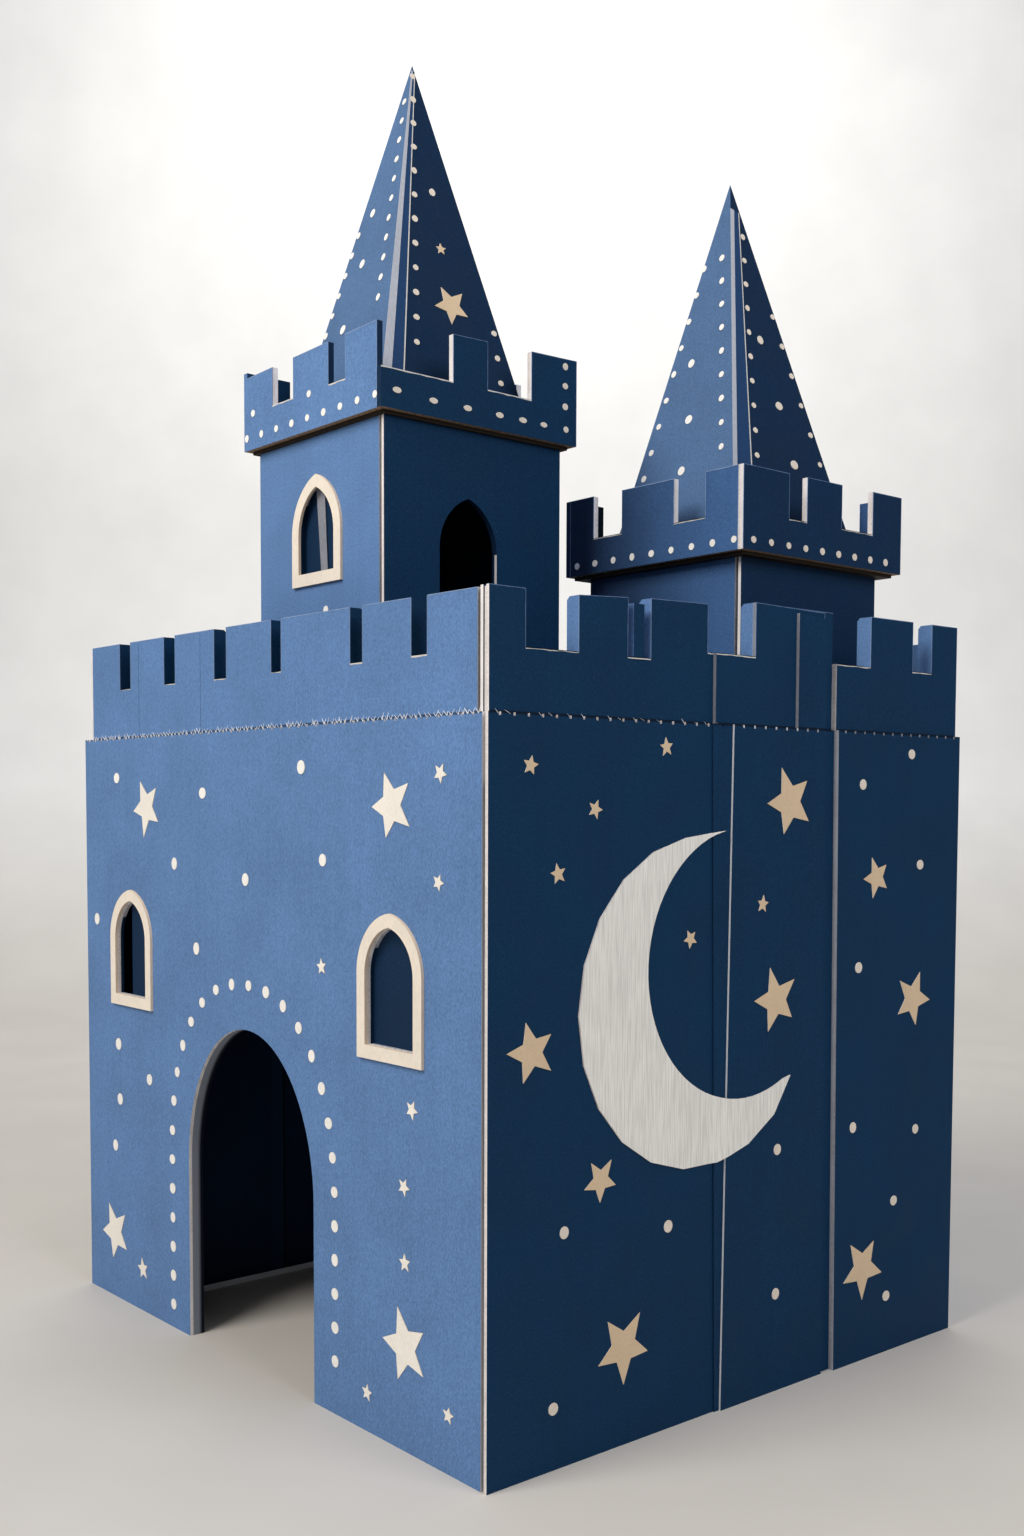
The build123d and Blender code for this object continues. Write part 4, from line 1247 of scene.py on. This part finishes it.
def tufts(side, reach, start, end, pitch, length, thickness, leans):
    """A row of torn tufts along one side, from start to end along its run."""
    outward = faces_of[side]
    along = upward_z.cross(outward)
    work = bmesh.new()
    run = start
    while run < end:
        place = run + random.uniform(-0.25, 0.25) * pitch
        run += pitch
        for lean in leans:
            if random.random() < tuft_missing:
                continue
            root = (outward * (reach - 0.05) + along * place + upward_z * (wall_top - 1)) * mm
            sliver(work, root, along, outward, length * mm * random.uniform(0.6, 1.3),
                   thickness * mm * random.uniform(0.7, 1.2),
                   math.radians(lean + random.uniform(-14, 14)), random.uniform(0.05, 0.2) * mm)
    finish_piece(f"{side}_tear_tufts", work, [torn_white])


tufts("front", -y_front, -285, 279, 5.5, 4.4, 0.5, (-42, 30))
tufts("right", wall_face, -243, -30, 12, 4.2, 0.42, (-52,))
print("tufts ready")

# %% [markdown]
# ## Camera
# The camera stands where the photograph's did: right of the near corner, a little below the
# battlement, looking almost level. The long lens keeps the uprights nearly parallel, and the
# picture is shifted up instead of tilted.

# %% Camera
camera_place = Vector((1026.4, -860.4, 438.87)) * mm
camera_yaw = math.radians(49.668)
camera_pitch = math.radians(3.297)
camera_roll = math.radians(0.189)
focal_pixels = 1535.38
picture_height = 1536
sensor = 36
horizon_drop = 129.72

camera_data = bpy.data.cameras.new("camera")
camera_data.sensor_width = sensor
camera_data.lens = sensor * focal_pixels / picture_height
camera_data.shift_y = horizon_drop / picture_height
camera_data.clip_start = 0.05
camera_data.clip_end = 30
camera = in_scene("camera", camera_data)
camera.location = camera_place
ahead = Vector((-math.sin(camera_yaw) * math.cos(camera_pitch),
                math.cos(camera_yaw) * math.cos(camera_pitch), -math.sin(camera_pitch)))
across = Vector((math.cos(camera_yaw), math.sin(camera_yaw), 0))
upward = across.cross(ahead)
turned_across = across * math.cos(camera_roll) + upward * math.sin(camera_roll)
turned_up = upward * math.cos(camera_roll) - across * math.sin(camera_roll)
camera.rotation_mode = "QUATERNION"
camera.rotation_quaternion = Matrix((turned_across, turned_up, -ahead)).transposed().to_quaternion()
bpy.context.scene.camera = camera
print("lens", round(camera_data.lens, 2), "mm")

# %% [markdown]
# ## Floor, backdrop and light
# A pale floor that curves up into a pale backdrop. The key light is a large soft window at the
# front left, so the front faces are bright and the right faces lie in soft shade, with a weak fill
# from the right and an even sky.

# %% Stage
bend_steps = 12


def area_light(name, place, target, width, height, power, tint):
    data = bpy.data.lights.new(name, "AREA")
    data.shape = "RECTANGLE"
    data.size = width
    data.size_y = height
    data.energy = power
    data.color = colour(tint)[:3]
    lamp = in_scene(name, data)
    lamp.location = place
    lamp.rotation_mode = "QUATERNION"
    lamp.rotation_quaternion = (Vector(target) - Vector(place)).to_track_quat("-Z", "Y")


def sweep(name, material, depth_back, depth_front, half_width, rise, bend):
    """A floor that runs back, bends up and becomes the backdrop, turned to face the camera."""
    work = bmesh.new()
    profile = [(-depth_front, 0.0), (depth_back - bend, 0.0)]
    for step in range(1, bend_steps + 1):
        angle = math.pi / 2 * step / bend_steps
        profile.append((depth_back - bend + bend * math.sin(angle), bend - bend * math.cos(angle)))
    profile.append((depth_back, rise))
    away = Vector((-math.sin(camera_yaw), math.cos(camera_yaw), 0))
    rows = [[work.verts.new(away * distance + across * side * half_width + upward_z * height)
             for side in (-1, 1)] for distance, height in profile]
    for lower, upper in zip(rows, rows[1:]):
        work.faces.new((lower[0], lower[1], upper[1], upper[0]))
    mesh = mesh_from(name, work, [material])
    for polygon in mesh.polygons:
        polygon.use_smooth = True
    floor = in_scene(name, mesh)


floor_material, tree, shader, place = start_material("pale_studio_floor")
dapple = grain(tree, place, 180, detail=3.0)
level = add(tree, "ShaderNodeSeparateXYZ", {0: place}).outputs["Z"]
ground = blend(tree, between(tree, level, 0.0, 0.5, 0, 1), colour("#cdc8c1"), colour("#ebeae7"))
ground = shade(tree, ground, between(tree, dapple, 0.3, 0.7, 0.97, 1.03))
tree.links.new(ground, shader.inputs["Base Color"])
shader.inputs["Roughness"].default_value = 0.8
sweep("floor", floor_material, 2.9, 2.9, 5.0, 4.6, 1.2)

area_light("window_light", (0.1, -1.7, 1.95), (0.15, 0, 0.6), 1.1, 1.1, 38, "#fffaf3")
area_light("fill_light", (1.9, 0.0, 1.75), (0.2, 0, 0.6), 1.2, 1.2, 20, "#f3f6ff")
area_light("backdrop_light", (-1.1, 0.9, 2.6), (-2.3, 2.0, 1.0), 2.4, 1.6, 36, "#ffffff")
world = bpy.data.worlds.new("soft_sky")
world.use_nodes = True
world.node_tree.nodes["Background"].inputs["Color"].default_value = colour("#eef1f6")
world.node_tree.nodes["Background"].inputs["Strength"].default_value = 0.36
bpy.context.scene.world = world
bpy.context.scene.view_settings.view_transform = "Standard"
